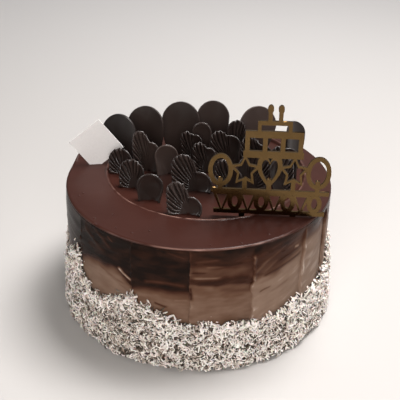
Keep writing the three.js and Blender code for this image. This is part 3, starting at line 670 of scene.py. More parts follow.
crest = RIM_PEAK["rise"] * bump(angle, RIM_PEAK["at"], RIM_PEAK["spread"])
lip = LIP_HEIGHT * (0.75 + 0.35 * unevenness(angle / 4, 0, 8, repeat=90))
floor_height = CAKE_HEIGHT - SUNK_DEPTH

top_rows = [around(angle, 0 * top, WALL_TOP - 2.5), around(angle, top - 2.5, WALL_TOP - 1.8)]
for inward, rise in RIM_PROFILE:
    peak = crest * ease(4.5, 1, inward)
    top_rows.append(around(angle, top - inward, CAKE_HEIGHT + rise + peak))
rim_row = around(angle, top - 5, CAKE_HEIGHT)
lip_row = around(angle, SUNK_RADIUS + LIP_WIDTH + 0.6, CAKE_HEIGHT, SUNK_CENTRE)
for t in np.linspace(0.1, 1, 12):
    row = rim_row * (1 - t) + lip_row * t
    swell = SWELL * unevenness((angle % 360) / 20, 1.8 * t, 5, repeat=18)
    row[:, 2] += swell * np.sin(math.pi * t)
    top_rows.append(row)
first_lip_row = len(top_rows)
for outward, rise in BEAD_PROFILE:
    top_rows.append(around(
        angle, SUNK_RADIUS + outward, CAKE_HEIGHT + rise * lip, SUNK_CENTRE))
for outward, rise in STEP_PROFILE:
    top_rows.append(around(angle, SUNK_RADIUS + outward, CAKE_HEIGHT + rise, SUNK_CENTRE))
for radius in np.linspace(68, 0, 10):
    dip = DIP * unevenness((angle % 360) / 24, radius / 16, 9, repeat=15) * min(radius / 30, 1)
    top_rows.append(around(angle, radius, floor_height + dip, SUNK_CENTRE))
top_piece = mesh_of(
    "poured_top", top_rows, grid_faces(len(top_rows), len(angle), True), ganache)
print("the top has", len(top_piece.data.polygons), "faces")

# %% Store where a highlight is painted along the lip and rim, and where shade is painted between the fans
LIP_HIGHLIGHT = [0, 0.15, 0.8, 0.7, 0.25, 0]  # one for each row of the bead, and one more
FANS_MIDDLE = np.array([5.0, 16.0])
FAN_SHADE = {"most": 0.8, "within": 38, "none_beyond": 58}

painted_highlight = np.zeros((len(top_rows), len(angle)))
painted_highlight[first_lip_row:first_lip_row + len(LIP_HIGHLIGHT)] = np.array(LIP_HIGHLIGHT)[:, None]
painted_highlight *= np.clip(0.6 + 0.7 * unevenness((angle % 360) / 3, 0, 14, repeat=120), 0, 1)
painted_highlight *= 0.25 + 0.75 * bump(angle, 2, 32)  # strongest at the front, where the lip's highlight shows
rim_highlight = np.clip(0.5 + 0.5 * unevenness((angle % 360) / 4, 0, 15, repeat=90), 0, 1)
painted_highlight[3] = 0.9 * rim_highlight * bump(angle, 0, 24)  # a painted highlight runs along the front of the rim too
keep_attribute(top_piece, "painted_highlight", painted_highlight)
# painted shade: the nearer the middle of the fans, the darker the glaze is painted
from_fans = np.linalg.norm(np.array(top_rows)[..., :2] - FANS_MIDDLE, axis=-1)
fan_shade = FAN_SHADE["most"] * (1 - ease(FAN_SHADE["within"], FAN_SHADE["none_beyond"], from_fans))
keep_attribute(top_piece, "painted_fan_shade", fan_shade)
print("crumbs darken", round(100 * float((fan_shade > 0.4).mean())), "% of the top's points")


# %% Weld the middle points, where a whole row shares one place
def weld(piece, distance=1e-6):
    """Merges points that share a place and drops the faces that vanish with them."""
    modifier = piece.modifiers.new("weld", "WELD")
    modifier.merge_threshold = distance
    return plain(piece)


weld(side)
weld(top_piece)
print(len(side.data.vertices), "points on the side,", len(top_piece.data.vertices), "on the top")

# %% [markdown]
# ## A scatter tree
#
# Coconut on the side and bubbles in the glaze are the same job: one small form repeated over a
# surface. Geometry Nodes does it once for both. The tree drops points on a surface, as many as
# an attribute called cover allows, sets the form on each point, turns it at random about the
# surface's normal, and makes the copies real.
#
# Two helpers serve every tree. An input has a name for people and an identifier for Blender, and
# a modifier's value is set by the identifier, so the first helper keeps both.

# %% Helpers for Geometry Nodes
def new_tree(name, inputs):
    """An empty tree with named inputs and one result, and its inputs' identifiers by name."""
    group = bpy.data.node_groups.new(name, "GeometryNodeTree")
    sockets = {}
    for title, kind in inputs.items():
        made = group.interface.new_socket(title, in_out="INPUT", socket_type="NodeSocket" + kind)
        sockets[title] = made.identifier
    group.interface.new_socket("Result", in_out="OUTPUT", socket_type="NodeSocketGeometry")
    return group, sockets


def shape_with(piece, group, sockets, values):
    """Adds a tree to a piece as a modifier, and sets the tree's inputs."""
    modifier = piece.modifiers.new(group.name, "NODES")
    modifier.node_group = group
    for title, value in values.items():
        modifier[sockets[title]] = value


# %% The scatter tree: drop points on the surface
scatter_group, scatter_sockets = new_tree("scatter_on_surface", {
    "Surface": "Geometry", "Form": "Object", "Per Square Metre": "Float", "Lift": "Float",
    "Tilt": "Float", "Smallest": "Vector", "Largest": "Vector", "Seed": "Int",
    "Finish": "Material",
})
given = add(scatter_group, "NodeGroupInput").outputs
cover = add(scatter_group, "GeometryNodeInputNamedAttribute", {"Name": "cover"}, data_type="FLOAT")
density = add(scatter_group, "ShaderNodeMath", {
    0: given["Per Square Metre"], 1: cover.outputs["Attribute"],
}, operation="MULTIPLY")
points = add(scatter_group, "GeometryNodeDistributePointsOnFaces", {
    "Mesh": given["Surface"], "Density": density.outputs[0], "Seed": given["Seed"],
}, distribute_method="RANDOM")
print("the scatter tree has", len(scatter_sockets), "inputs")

# %% Turn and size the form on each point
most = add(scatter_group, "ShaderNodeCombineXYZ", {
    "X": given["Tilt"], "Y": given["Tilt"], "Z": math.pi,
})
least = add(scatter_group, "ShaderNodeVectorMath", {
    0: most.outputs[0], 1: (-1, -1, -1),
}, operation="MULTIPLY")
turned = add(scatter_group, "FunctionNodeRandomValue", {
    "Min": least.outputs[0], "Max": most.outputs[0], "Seed": given["Seed"],
}, data_type="FLOAT_VECTOR")
spin = add(scatter_group, "FunctionNodeEulerToRotation", {0: turned.outputs[0]})
rotation = add(scatter_group, "FunctionNodeRotateRotation", {
    "Rotation": points.outputs["Rotation"], "Rotate By": spin.outputs[0],
}, rotation_space="LOCAL")
size = add(scatter_group, "FunctionNodeRandomValue", {
    "Min": given["Smallest"], "Max": given["Largest"], "Seed": given["Seed"],
}, data_type="FLOAT_VECTOR")
form = add(scatter_group, "GeometryNodeObjectInfo", {"Object": given["Form"]})
copies = add(scatter_group, "GeometryNodeInstanceOnPoints", {
    "Points": points.outputs["Points"], "Instance": form.outputs["Geometry"],
    "Rotation": rotation.outputs[0], "Scale": size.outputs[0],
})
print("each copy is turned by up to", round(math.degrees(math.pi)), "degrees either way")

# %% Lift each copy, give it a tint of its own, and make it real
up = add(scatter_group, "FunctionNodeRandomValue", {
    2: 0.0, 3: given["Lift"], "Seed": 3,
}, data_type="FLOAT")
lifted = add(scatter_group, "GeometryNodeTranslateInstances", {
    "Instances": copies.outputs[0], "Local Space": True,
    "Translation": add(scatter_group, "ShaderNodeCombineXYZ", {"Z": up.outputs[1]}).outputs[0],
})
tint = add(scatter_group, "FunctionNodeRandomValue", {"Seed": 7}, data_type="FLOAT")
tinted = add(scatter_group, "GeometryNodeStoreNamedAttribute", {
    "Geometry": lifted.outputs[0], "Name": "tint", "Value": tint.outputs[1],
}, data_type="FLOAT", domain="INSTANCE")
real = add(scatter_group, "GeometryNodeRealizeInstances", {0: tinted.outputs[0]})
dressed = add(scatter_group, "GeometryNodeSetMaterial", {
    "Geometry": real.outputs[0], "Material": given["Finish"],
})
add(scatter_group, "NodeGroupOutput", {0: dressed.outputs[0]})
print(scatter_group.name, "has", len(scatter_group.nodes), "nodes")


# %% Use the tree
def scatter(name, surface, **values):
    """One plain mesh of a form scattered over a surface. values are the tree's inputs."""
    piece = surface.copy()
    piece.data = surface.data.copy()
    piece.name = name
    piece.hide_render = False
    bpy.context.scene.collection.objects.link(piece)
    shape_with(piece, scatter_group, scatter_sockets, {
        key.replace("_", " ").title(): value for key, value in values.items()})
    piece.update_tag()
    bpy.context.view_layer.update()
    plain(piece)
    for point in piece.data.vertices:
        point.co.z = max(point.co.z, 0.1 * MM)  # nothing goes below the cake's flat foot
    print(name, "has", sum(len(p.vertices) - 2 for p in piece.data.polygons), "triangles")
    return piece


# %% Bubbles that rose in the glaze and set there
# As (x, y) on the raised crescent, in millimetres. The first ones show in front.
BUBBLES = [(-84.9, -25.9), (-72.4, -62.4), (-71.5, -70.3), (-45.4, -81.3), (-32.9, -78.5),
           (-30.2, -77.8), (-3.7, -65.5)]
BUBBLE_COUNT = 26
CRESCENT = (83, 96)  # distances from the cake's middle between which they lie
DOME_TOP = 0.42
DOME_RINGS = [(0.35, 0.38), (0.65, 0.22), (0.85, 0)]  # reach and height
DOME_SIDES = 12

draw = np.random.default_rng(5)
while len(BUBBLES) < BUBBLE_COUNT:
    turn, away = draw.uniform(0, 2 * math.pi), draw.uniform(*CRESCENT)
    spot = (away * math.sin(turn), -away * math.cos(turn))
    if math.dist(spot, SUNK_CENTRE) > SUNK_RADIUS + 4:
        BUBBLES.append(spot)

corners = [(0, 0, DOME_TOP)]
for reach, up in DOME_RINGS:
    for k in range(DOME_SIDES):
        turn = 2 * math.pi * k / DOME_SIDES
        corners.append((reach * math.cos(turn), reach * math.sin(turn), up))
faces = [(0, 1 + k, 1 + (k + 1) % DOME_SIDES) for k in range(DOME_SIDES)]
faces += [(1 + a, 1 + d, 1 + c, 1 + b)
          for a, b, c, d in grid_faces(len(DOME_RINGS), DOME_SIDES, True)]
dome = mesh_of("dome", corners, faces)
dome.hide_render = True
print("places for", len(BUBBLES), "bubbles of", len(faces), "faces each")

# %% Set the bubbles in the glaze
# One square millimetre lies at each place, and the scatter drops about one dome on each.
patches = [(x + i, y + j, CAKE_HEIGHT - 0.03) for x, y in BUBBLES
           for i, j in ((-0.5, -0.5), (0.5, -0.5), (0.5, 0.5), (-0.5, 0.5))]
squares = [tuple(range(i, i + 4)) for i in range(0, len(patches), 4)]
places = mesh_of("bubble_places", patches, squares)
keep_attribute(places, "cover", np.ones(len(patches)))
bubbles = scatter(
    "glaze_bubbles", places, form=dome, per_square_metre=1010000.0, seed=4, finish=ganache,
    smallest=(0.8, 0.8, 0.8), largest=(1.6, 1.6, 1.5), lift=0.0, tilt=0.0)
for helper in (dome, places):
    bpy.data.objects.remove(helper)
print("the glaze has", len(bubbles.data.vertices) // len(corners), "bubbles")

# %% [markdown]
# ## The coconut
#
# Desiccated coconut is grated white flesh, cut to shreds three to six millimetres long and about
# one wide. It is dry and matt. Here it was pressed into soft dark frosting, so some of it is
# stained, and brown shows in the gaps. A core carries the mass, and thousands of bent shreds in
# three shades lie on it. The core's dark colour is partly that frosting and partly painted shade in
# the gaps, and the extra dark shreds at the left of the front are painted shade.

# %% Coconut materials
def coconut_finish(name, shade, light):
    """Dry coconut flesh: matt, a little see-through, each shred its own shade."""
    made, tree, shader = finish(name, Roughness=0.75, Subsurface_Weight=0.12)
    shader.inputs["Subsurface Scale"].default_value = 0.001
    tint = add(tree, "ShaderNodeAttribute", attribute_name="tint").outputs["Fac"]
    mixed = add(tree, "ShaderNodeMix", {0: tint, 6: linear(shade), 7: linear(light)},
                data_type="RGBA")
    tree.links.new(mixed.outputs[2], shader.inputs["Base Color"])
    return made


coconut_white = coconut_finish("dry_coconut_white", "#dfd6cf", "#fffaf5")
coconut_cream = coconut_finish("dry_coconut_cream", "#a2968b", "#d9cfc5")
coconut_stained = coconut_finish("coconut_stained_with_cocoa", "#403830", "#7b7267")

# Crumbs of coconut in the frosting are about 1.4 mm wide, so there are 700 to the metre.
# painted shade: the frosting between the shreds is darker than the side's buttercream, partly brown
# frosting and partly shade painted into the gaps
bed_finish = speckled_finish(
    "frosting_and_painted_shade_among_coconut", 700.0, "#261b15", "#574a40", 0.8, 1.0, Roughness=0.6)
print("three shades of coconut and the frosting between them")

# %% The core of the coat
BED_COLUMNS = 720
BED_ROWS = 40
BED_SUNK = 0.9  # the core lies this far below the coat's outer surface
LUMPS = 0.8
TUCK = 2.0  # how far the core draws in at its foot and at its upper edge

bed_angle = np.arange(BED_COLUMNS) * 360 / BED_COLUMNS
edge = coat_edge(bed_angle)


def coat_radius(share, raised=0.0):
    """Distance of the coat's surface from the middle, at a share of its height."""
    turn = np.radians(bed_angle)
    depth = COAT_FOOT + (COAT_TOP - COAT_FOOT) * share ** COAT_SLOPE
    grain = np.sin(19 * turn + 9 * share) * np.cos(8 * turn - 14 * share)
    lumps = LUMPS * unevenness(bed_angle / 1.5, share * 16, 12, repeat=240)
    return CAKE_RADIUS + depth + grain + lumps + raised


bed_rows = [around(bed_angle, CAKE_RADIUS - 4 + 0 * edge, 0.2)]
for share_up in np.linspace(0, 1, BED_ROWS):
    tuck = TUCK * (1 - ease(0, 0.06, share_up)) + TUCK * ease(0.93, 1, share_up)
    bed_rows.append(around(
        bed_angle, coat_radius(share_up, -BED_SUNK) - tuck, 0.2 + share_up * (edge - 0.7)))
bed_rows.append(around(bed_angle, CAKE_RADIUS - 3 + 0 * edge, edge + 0.3))
bed_rows.append(bed_rows[0])
bed = mesh_of("coconut_core", bed_rows, grid_faces(len(bed_rows), BED_COLUMNS, True), bed_finish)
weld(bed)
print("the core reaches", round(1000 * max(v.co.x for v in bed.data.vertices)), "mm out")


# %% One shred and one flake
SHRED = {"length": 3.7, "width": 0.9, "thickness": 0.4, "bend": 0.5}
FLAKE = {"length": 4.6, "width": 1.5, "thickness": 0.45, "bend": 0.5}


def shred_form(name, size):
    """A bent strip with narrowed ends, lying along X."""
    corners = []
    for x, narrow, up in [(-0.5, 0.55, 0), (0.0, 1, size["bend"]), (0.5, 0.6, 0)]:
        for y, z in [(-0.5, -0.5), (0.5, -0.5), (0.5, 0.5), (-0.5, 0.5)]:
            corners.append((
                x * size["length"], y * size["width"] * narrow,
                z * size["thickness"] * narrow + up))
    form = mesh_of(
        name, corners, [(3, 2, 1, 0), (8, 9, 10, 11), *grid_faces(3, 4, True)], smooth=False)
    form.hide_render = True
    return form


shred = shred_form("shred", SHRED)
flake = shred_form("flake", FLAKE)
print("shreds of", SHRED["length"], "mm and flakes of", FLAKE["length"], "mm")

# %% The surfaces to scatter them on
COVER_ROWS = 44
COVER_SUNK = 0.5  # the surface lies this far inside the coat's outer one

cover_rows = []
cover = []
cover_heights = np.linspace(0.02, 1.12, COVER_ROWS)
for share_up in cover_heights:
    inside = min(share_up, 1)
    lower = ease(1, 1.04, share_up) * COAT_TOP
    cover_rows.append(around(
        bed_angle, coat_radius(inside, -COVER_SUNK) - lower, 0.9 + share_up * (edge - 1.2)))
    ragged_edge = 0.045 * unevenness(bed_angle / 2.5, 0, 31, repeat=144)
    cover.append(1 - ease(0.985, 1.02, share_up + ragged_edge) * 0.985)
cover = np.array(cover)

# The coconut is more stained in some places, at random, and at the left of the front more dark
# shreds are laid as painted shade.
patchy = 0.35 * unevenness(bed_angle / 9, np.arange(COVER_ROWS)[:, None] / 9, 77, repeat=40)
stain_and_shade = np.clip(0.2 + patchy + 0.8 * bump(bed_angle, -36, 13), 0, 1)


def covered(name, values):
    """A surface on which that much of each place is covered."""
    made = mesh_of(name, cover_rows, grid_faces(len(cover_rows), BED_COLUMNS, True))
    keep_attribute(made, "cover", values)
    made.hide_render = True
    return made


clean_cover = covered("clean_cover", cover * (1.08 - 0.65 * stain_and_shade))
stained_cover = covered("stained_cover", cover * (0.6 + 0.9 * stain_and_shade))
# The largest flakes ended up along the upper edge.
upper_edge = 0.25 + 2 * ease(0.65, 0.95, cover_heights)
flake_cover = covered("flake_cover", cover * upper_edge[:, None])
print("the stain covers", round(100 * float((stain_and_shade > 0.5).mean())), "% of the coat")

# %% Scatter the coconut
THINNEST, THICKEST = (0.6, 0.7, 0.8), (1.35, 1.25, 1.4)  # the range of sizes, as shares
# For each piece: its surface, form and finish, how many lie on a square metre, a seed, how far
# they are lifted in millimetres, and how far they tilt in radians.
COCONUT = {
    "coconut_stained": (stained_cover, shred, coconut_stained, 260000.0, 3, 1.1, 0.55),
    "coconut_cream": (stained_cover, shred, coconut_cream, 230000.0, 5, 1.5, 0.55),
    "coconut_white": (clean_cover, shred, coconut_white, 290000.0, 7, 1.9, 0.55),
    "coconut_flakes": (flake_cover, flake, coconut_white, 70000.0, 9, 2.0, 0.9),
}
coconut = [
    scatter(name, surface, form=form, finish=material, per_square_metre=count, seed=seed,
            lift=lift * MM, tilt=tilt, smallest=THINNEST, largest=THICKEST)
    for name, (surface, form, material, count, seed, lift, tilt) in COCONUT.items()
]
print(len(coconut), "pieces of coconut")

# %% [markdown]
# ## Dark chocolate fans and petals
#
# The fans are scraped from a slab of tempered dark chocolate: the scraper gathers the sheet on
# one side into pleats and leaves the other side smooth, with a rolled rim. The petals are plain,
# dipped from a curved spatula. Tempered chocolate is nearly black with a satin shine, and its
# thin edges catch a bright line of light.

# %% Tempered chocolate
chocolate, tree, shader = finish(
    "tempered_dark_chocolate", Roughness=0.36, IOR=1.45, Coat_Weight=0.35, Coat_Roughness=0.22)
where = add(tree, "ShaderNodeTexCoord").outputs["Object"]
# 45 clouds to the metre make each 22 mm wide, as wide as a fan, and scrape marks are 2.4 mm apart.
cloud = add(tree, "ShaderNodeTexNoise", {"Vector": where, "Scale": 45.0, "Detail": 4.0})
dark = add(tree, "ShaderNodeMix", {
    0: cloud.outputs["Fac"], 6: linear("#1f1714"), 7: linear("#2d2421"),
}, data_type="RGBA")
bloom = add(tree, "ShaderNodeAttribute", attribute_name="bloom").outputs["Fac"]
mixed = add(tree, "ShaderNodeMix", {
    0: bloom, 6: dark.outputs[2], 7: linear("#3e332f"),
}, data_type="RGBA", clamp_factor=False)  # painted sheen: some pieces are painted paler where they catch more light, and a negative value paints one darker, as shade
tree.links.new(mixed.outputs[2], shader.inputs["Base Color"])
scrape = add(tree, "ShaderNodeTexNoise", {"Vector": where, "Scale": 420.0, "Detail": 2.0})
relief = add(tree, "ShaderNodeBump", {
    "Height": scrape.outputs["Fac"], "Distance": 0.0002, "Strength": 0.4,
})
tree.links.new(relief.outputs[0], shader.inputs["Normal"])
print(chocolate.name)

# %% The places of the fans and petals
FANS = [
    {"x": -60.3, "y": 8, "turn": -24, "lean": 10, "width": 20.5, "height": 21, "ridges": 7},
    {"x": -50.5, "y": -14.4, "turn": -24, "lean": 12, "width": 20.5, "height": 23, "ridges": 9},
    {"x": -35.6, "y": -32, "turn": -10, "lean": 10, "width": 19.5, "height": 21, "ridges": 0},
    {"x": -10.3, "y": -51, "turn": -6, "lean": 12, "width": 26, "height": 24.2, "ridges": 9,
     "drop": 0.44, "bloom": 0.25},
    {"x": -41.5, "y": 13, "turn": -6, "lean": 10, "width": 21, "height": 33, "ridges": 10,
     "drop": 0.26, "bloom": 0.5},
    {"x": -25.3, "y": 8.5, "turn": 8, "lean": 10, "width": 18, "height": 24.3, "ridges": 0,
     "bloom": 1},
    {"x": -5.5, "y": -18, "turn": -4, "lean": 14, "width": 31, "height": 28.5, "ridges": 10,
     "drop": 0.45},
    {"x": 1.8, "y": 34.7, "turn": -12, "lean": 8, "width": 16, "height": 31.5, "ridges": 0,
     "bloom": 0.4},
    {"x": 4.2, "y": 11, "turn": 8, "lean": 12, "width": 18.5, "height": 25.5, "ridges": 8,
     "drop": 0.2},
    {"x": 20.8, "y": 26, "turn": 6, "lean": 10, "width": 24, "height": 28.5, "ridges": 10,
     "drop": 0.15},
    {"x": 29.5, "y": 35, "turn": 20, "lean": 6, "width": 16, "height": 34, "ridges": 10,
     "side": -1},
    {"x": 22, "y": -20, "turn": -14, "lean": 12, "width": 21, "height": 26, "ridges": 8,
     "drop": 0.25},
    {"x": 41, "y": -13, "turn": 8, "lean": 12, "width": 24, "height": 28, "ridges": 9,
     "side": -1},
    {"x": 44, "y": 10, "turn": -6, "lean": 10, "width": 25, "height": 31, "ridges": 10,
     "drop": 0.2},
    {"x": 62, "y": -17, "turn": 26, "lean": 12, "width": 21, "height": 28, "ridges": 9,
     "side": -1},
    {"x": 65, "y": 3, "turn": 14, "lean": 8, "width": 21, "height": 28, "ridges": 9,
     "drop": 0.1},
    {"x": -6.2, "y": 28.5, "turn": -6, "lean": 8, "width": 17, "height": 26.5, "ridges": 8,
     "drop": 0.1},
]
PETALS = [
    {"x": -56, "y": 27, "turn": -14, "lean": 8, "width": 28, "height": 38, "roll": -18,
     "bloom": -0.3},
    {"x": -42, "y": 38, "turn": -10, "lean": 8, "width": 29, "height": 42, "roll": -2,
     "bloom": 0.25},
    {"x": -15, "y": 43, "turn": -4, "lean": 8, "width": 30, "height": 44, "bloom": 0.25},
    {"x": 10, "y": 48, "turn": 6, "lean": 8, "width": 26, "height": 43, "roll": 2,
     "bloom": 0.45},
    {"x": 41.5, "y": 43, "turn": 10, "lean": 8, "width": 30, "height": 39.5, "roll": 13,
     "bloom": 1.4},
    {"x": 72, "y": 17, "turn": 40, "lean": 8, "width": 20, "height": 39, "roll": 8},
]
SETTLED = 0.9  # each foot is sunk this far in the glaze


def turning(spot):
    """How a piece is turned: rolled in its own plane, leant back, then turned on the cake."""
    return (
        Matrix.Rotation(math.radians(spot["turn"]), 3, "Z")
        @ Matrix.Rotation(math.radians(-spot["lean"]), 3, "X")
        @ Matrix.Rotation(math.radians(spot.get("roll", 0)), 3, "Y")
    )


print(len(FANS), "fans and", len(PETALS), "petals")

# %% One lobe of a fan
FAN_SKIRT = 0.8  # width at the floor, as a share of the lobe's width


def lobe_reach(angle, foot, x, top, radius):
    """How far a disc on a skirt reaches along rays from a foot on the floor."""
    z = top - radius
    across, up = np.cos(angle), np.sin(angle)
    along = (x - foot) * across + z * up
    aside = (x - foot) * up - z * across
    disc = np.where(np.abs(aside) < radius, along + np.sqrt(np.maximum(radius**2 - aside**2, 0)), 0)
    outward = np.sign(across)
    widening = (1 - FAN_SKIRT) * radius / z
    skirt = (x + outward * FAN_SKIRT * radius - foot) / (across - outward * widening * up)
    return np.maximum(disc, np.where((skirt > 0) & (skirt * up <= z), skirt, 0))


straight_up = lobe_reach(np.array([math.pi / 2]), 0, 0, 20, 10)
print("straight up, a lobe 20 mm high reaches", round(float(straight_up[0]), 1), "mm")

# %% The outline of a fan
FAN_FOOT = 1.2  # the rays of a fan start this far from its foot
FAN_FOOT_SHIFT = 0.12  # how far the foot is off the middle, as a share of the width
FAN_BOW = 0.05  # how far the ridges bow out on their way, as a share of the width
UPPER_LOBE = 0.28  # radii of the two lobes, as shares of the width
LOWER_LOBE = 0.33
FAN_CUP = 2.4  # how far the two ends of the rim come forward
FAN_CURL = {"from": 0.6, "rate": 14}  # the rim curls forward too, faster and faster
RIM_RAYS = 361
RIM_SOFTENING = 8  # how many rays to each side are averaged


def fan_rim(spot):
    """The rays from a fan's foot to its rim: angles, reaches, and lengths along the rim."""
    width, top = spot["width"], spot["height"]
    foot = FAN_FOOT_SHIFT * width
    angle = np.linspace(math.pi, 0, RIM_RAYS)
    if "drop" in spot:
        upper, lower = UPPER_LOBE * width, LOWER_LOBE * width
        reach = np.maximum(
            lobe_reach(angle, foot, upper - width / 2, top, upper),
            lobe_reach(angle, foot, width / 2 - lower, (1 - spot["drop"]) * top, lower))
    else:
        reach = lobe_reach(angle, foot, 0, top, width / 2)
    padded = np.pad(reach, RIM_SOFTENING, mode="edge")
    averaged = 2 * RIM_SOFTENING + 1
    reach = np.convolve(padded, np.ones(averaged) / averaged, mode="valid")
    steps = np.hypot(np.diff(reach), reach[1:] * math.pi / (RIM_RAYS - 1))
    return angle, reach, np.concatenate([[0], np.cumsum(steps)])


def fan_outline(u, v, spot):
    """Points of a fan's middle surface without its ridges, and the distance along its rim."""
    angle, reach, lengths = fan_rim(spot)
    at = u * lengths[-1]
    angle, reach = np.interp(at, lengths, angle), np.interp(at, lengths, reach)
    out = FAN_FOOT + (reach - FAN_FOOT) * v
    bow = FAN_BOW * spot["width"] * 4 * v * (1 - v) * np.sin(angle)
    x = spot.get("side", 1) * (FAN_FOOT_SHIFT * spot["width"] + out * np.cos(angle) + bow)
    curl = FAN_CURL["rate"] * np.maximum(0, v - FAN_CURL["from"]) ** 2
    y = -FAN_CUP * (2 * u - 1) ** 2 * v - curl
    return np.stack([x, y, out * np.sin(angle)], -1), at


print("the first fan's rim is", round(float(fan_rim(FANS[0])[2][-1])), "mm long")

# %% The relief of a fan
RIDGE_PITCH = 4.2  # along the rim
RIDGE_DEPTH = 1.2
SHOULDER = 1.6  # the length of rim, to each side, in which ridges give way to the lobe
ROLLS = [(0.965, 0.022, 0.4), (0.88, 0.02, 0.2)]  # place and half width as shares, and height
LOBE_DENTS = 0.4


def fan_relief(at, v, ridges, seed):
    """How far a fan stands forward of its outline: rounded ridges, and a rolled rim."""
    border = RIDGE_PITCH * ridges
    smooth = ease(border - SHOULDER, border + SHOULDER, at) if ridges else 1 + 0 * at
    swirl = 0.5 * np.sin(math.pi * v) + 0.2 * unevenness(3 * v, at / 5, seed)
    across_ridge = 2 * np.abs(np.sin(math.pi * (at / RIDGE_PITCH + swirl))) ** 0.7 - 1
    reach = ease(0.25, 0.6, v) * (1 - 0.5 * ease(0.94, 1, v))
    uneven = 1 + 0.4 * unevenness(4 * v, at / 7, seed + 50)
    pleats = RIDGE_DEPTH * across_ridge * reach * uneven * (1 - smooth)
    rolled = sum(rise * np.exp(-(((v - place) / half) ** 2)) for place, half, rise in ROLLS)
    rolled = rolled * (0.6 + 0.6 * unevenness(at / 8, 0, seed + 30))
    dents = LOBE_DENTS * unevenness(at / 12, 2.5 * v, seed + 80) * v
    return pleats + rolled * (0.2 + 0.8 * smooth) + dents * smooth


print("a ridge every", RIDGE_PITCH, "mm along the rim, and", len(ROLLS), "rolls on it")


# %% Close a sheet, and stand a piece on the cake
def sheet(name, surface, relief, thickness, material):
    """A closed sheet from a grid of points, moved forward by relief. thickness may vary."""
    rows, columns = surface.shape[:2]
    step_u = np.gradient(surface, axis=1)
    step_v = np.gradient(surface, axis=0)
    normal = np.cross(step_u, step_v)
    normal /= np.maximum(np.linalg.norm(normal, axis=-1, keepdims=True), 1e-9)
    front = surface + normal * (relief + thickness / 2)[..., None]
    back = surface + normal * (relief - thickness / 2)[..., None]
    faces = grid_faces(rows, columns, False)
    opposite = rows * columns
    faces += [tuple(opposite + k for k in reversed(quad)) for quad in faces]
    border = [*range(columns), *[i * columns + columns - 1 for i in range(1, rows)],
              *[(rows - 1) * columns + j for j in range(columns - 2, -1, -1)],
              *[i * columns for i in range(rows - 2, 0, -1)]]
    for a, b in zip(border, border[1:] + border[:1]):
        faces.append((b, a, a + opposite, b + opposite))
    return mesh_of(name, [front, back], faces, material)


def stand(piece, spot, node):
    """Turns a piece as its CAD node is turned, and sets its foot where the node's foot is."""
    piece.data.transform(turning(spot).to_4x4())
    lowest = min(v.co.z for v in piece.data.vertices)
    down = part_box(node)[0].z - SETTLED * MM - lowest
    piece.data.transform(Matrix.Translation((spot["x"] * MM, spot["y"] * MM, down)))
    return piece


print("every foot is sunk", SETTLED, "mm in the glaze")

# %% Make the fans
FAN_THICKNESS = 1.3
FAN_COLUMNS, FAN_ROWS = 170, 50
ROUNDED_FROM = 0.965  # from this share of the height on, the sheet thins to a rounded edge

fans = []
u, v = np.meshgrid(np.linspace(0, 1, FAN_COLUMNS), np.linspace(0, 1, FAN_ROWS))
v = 1 - (1 - v) ** 1.4  # rows lie closer together towards the rolled rim
rounded = np.sqrt(1 - 0.92 * np.clip((v - ROUNDED_FROM) / (1 - ROUNDED_FROM), 0, 1) ** 2)
for number, spot in enumerate(FANS, 1):
    surface, at = fan_outline(u, v, spot)
    relief = fan_relief(at, v, spot["ridges"], 60 + number)
    if spot.get("side", 1) < 0:
        surface, relief = surface[:, ::-1], relief[:, ::-1]
    fan = sheet(f"chocolate_fan_{number:02d}", surface, relief, FAN_THICKNESS * rounded, chocolate)
    painted_crest_sheen = spot.get("bloom", 0) + 0.5 * relief  # painted highlight: crests and rolled rims, which stand forward, are painted paler
    keep_attribute(fan, "bloom", np.stack([painted_crest_sheen, painted_crest_sheen]))
    fans.append(stand(fan, spot, f"fan_{number:02d}"))
print(len(fans), "fans of", len(fans[0].data.polygons), "faces each")

# %% [markdown]
# A petal's outline is simple enough to say in nodes: a square grid is squeezed into straight
# sides and an arched top, then bent round an upright axis. With the petal's own sizes as inputs,
# one tree makes all six. Solidify and Bevel then give it thickness and soft edges.
#
# The sum is long, and a list of its steps is easier to read than a picture of its nodes.

# %% The petal tree: its inputs and its grid
petal_group, petal_sockets = new_tree("petal", {
    "Width": "Float", "Height": "Float", "Bend": "Float", "Columns": "Int", "Rows": "Int",
    "Finish": "Material",
})
given = add(petal_group, "NodeGroupInput").outputs
grid = add(petal_group, "GeometryNodeMeshGrid", {
    "Size X": 2.0, "Size Y": 2.0, "Vertices X": given["Columns"], "Vertices Y": given["Rows"],
})
position = add(petal_group, "GeometryNodeInputPosition").outputs[0]
at = add(petal_group, "ShaderNodeSeparateXYZ", {0: position}).outputs
print("the petal tree has", len(petal_sockets), "inputs")

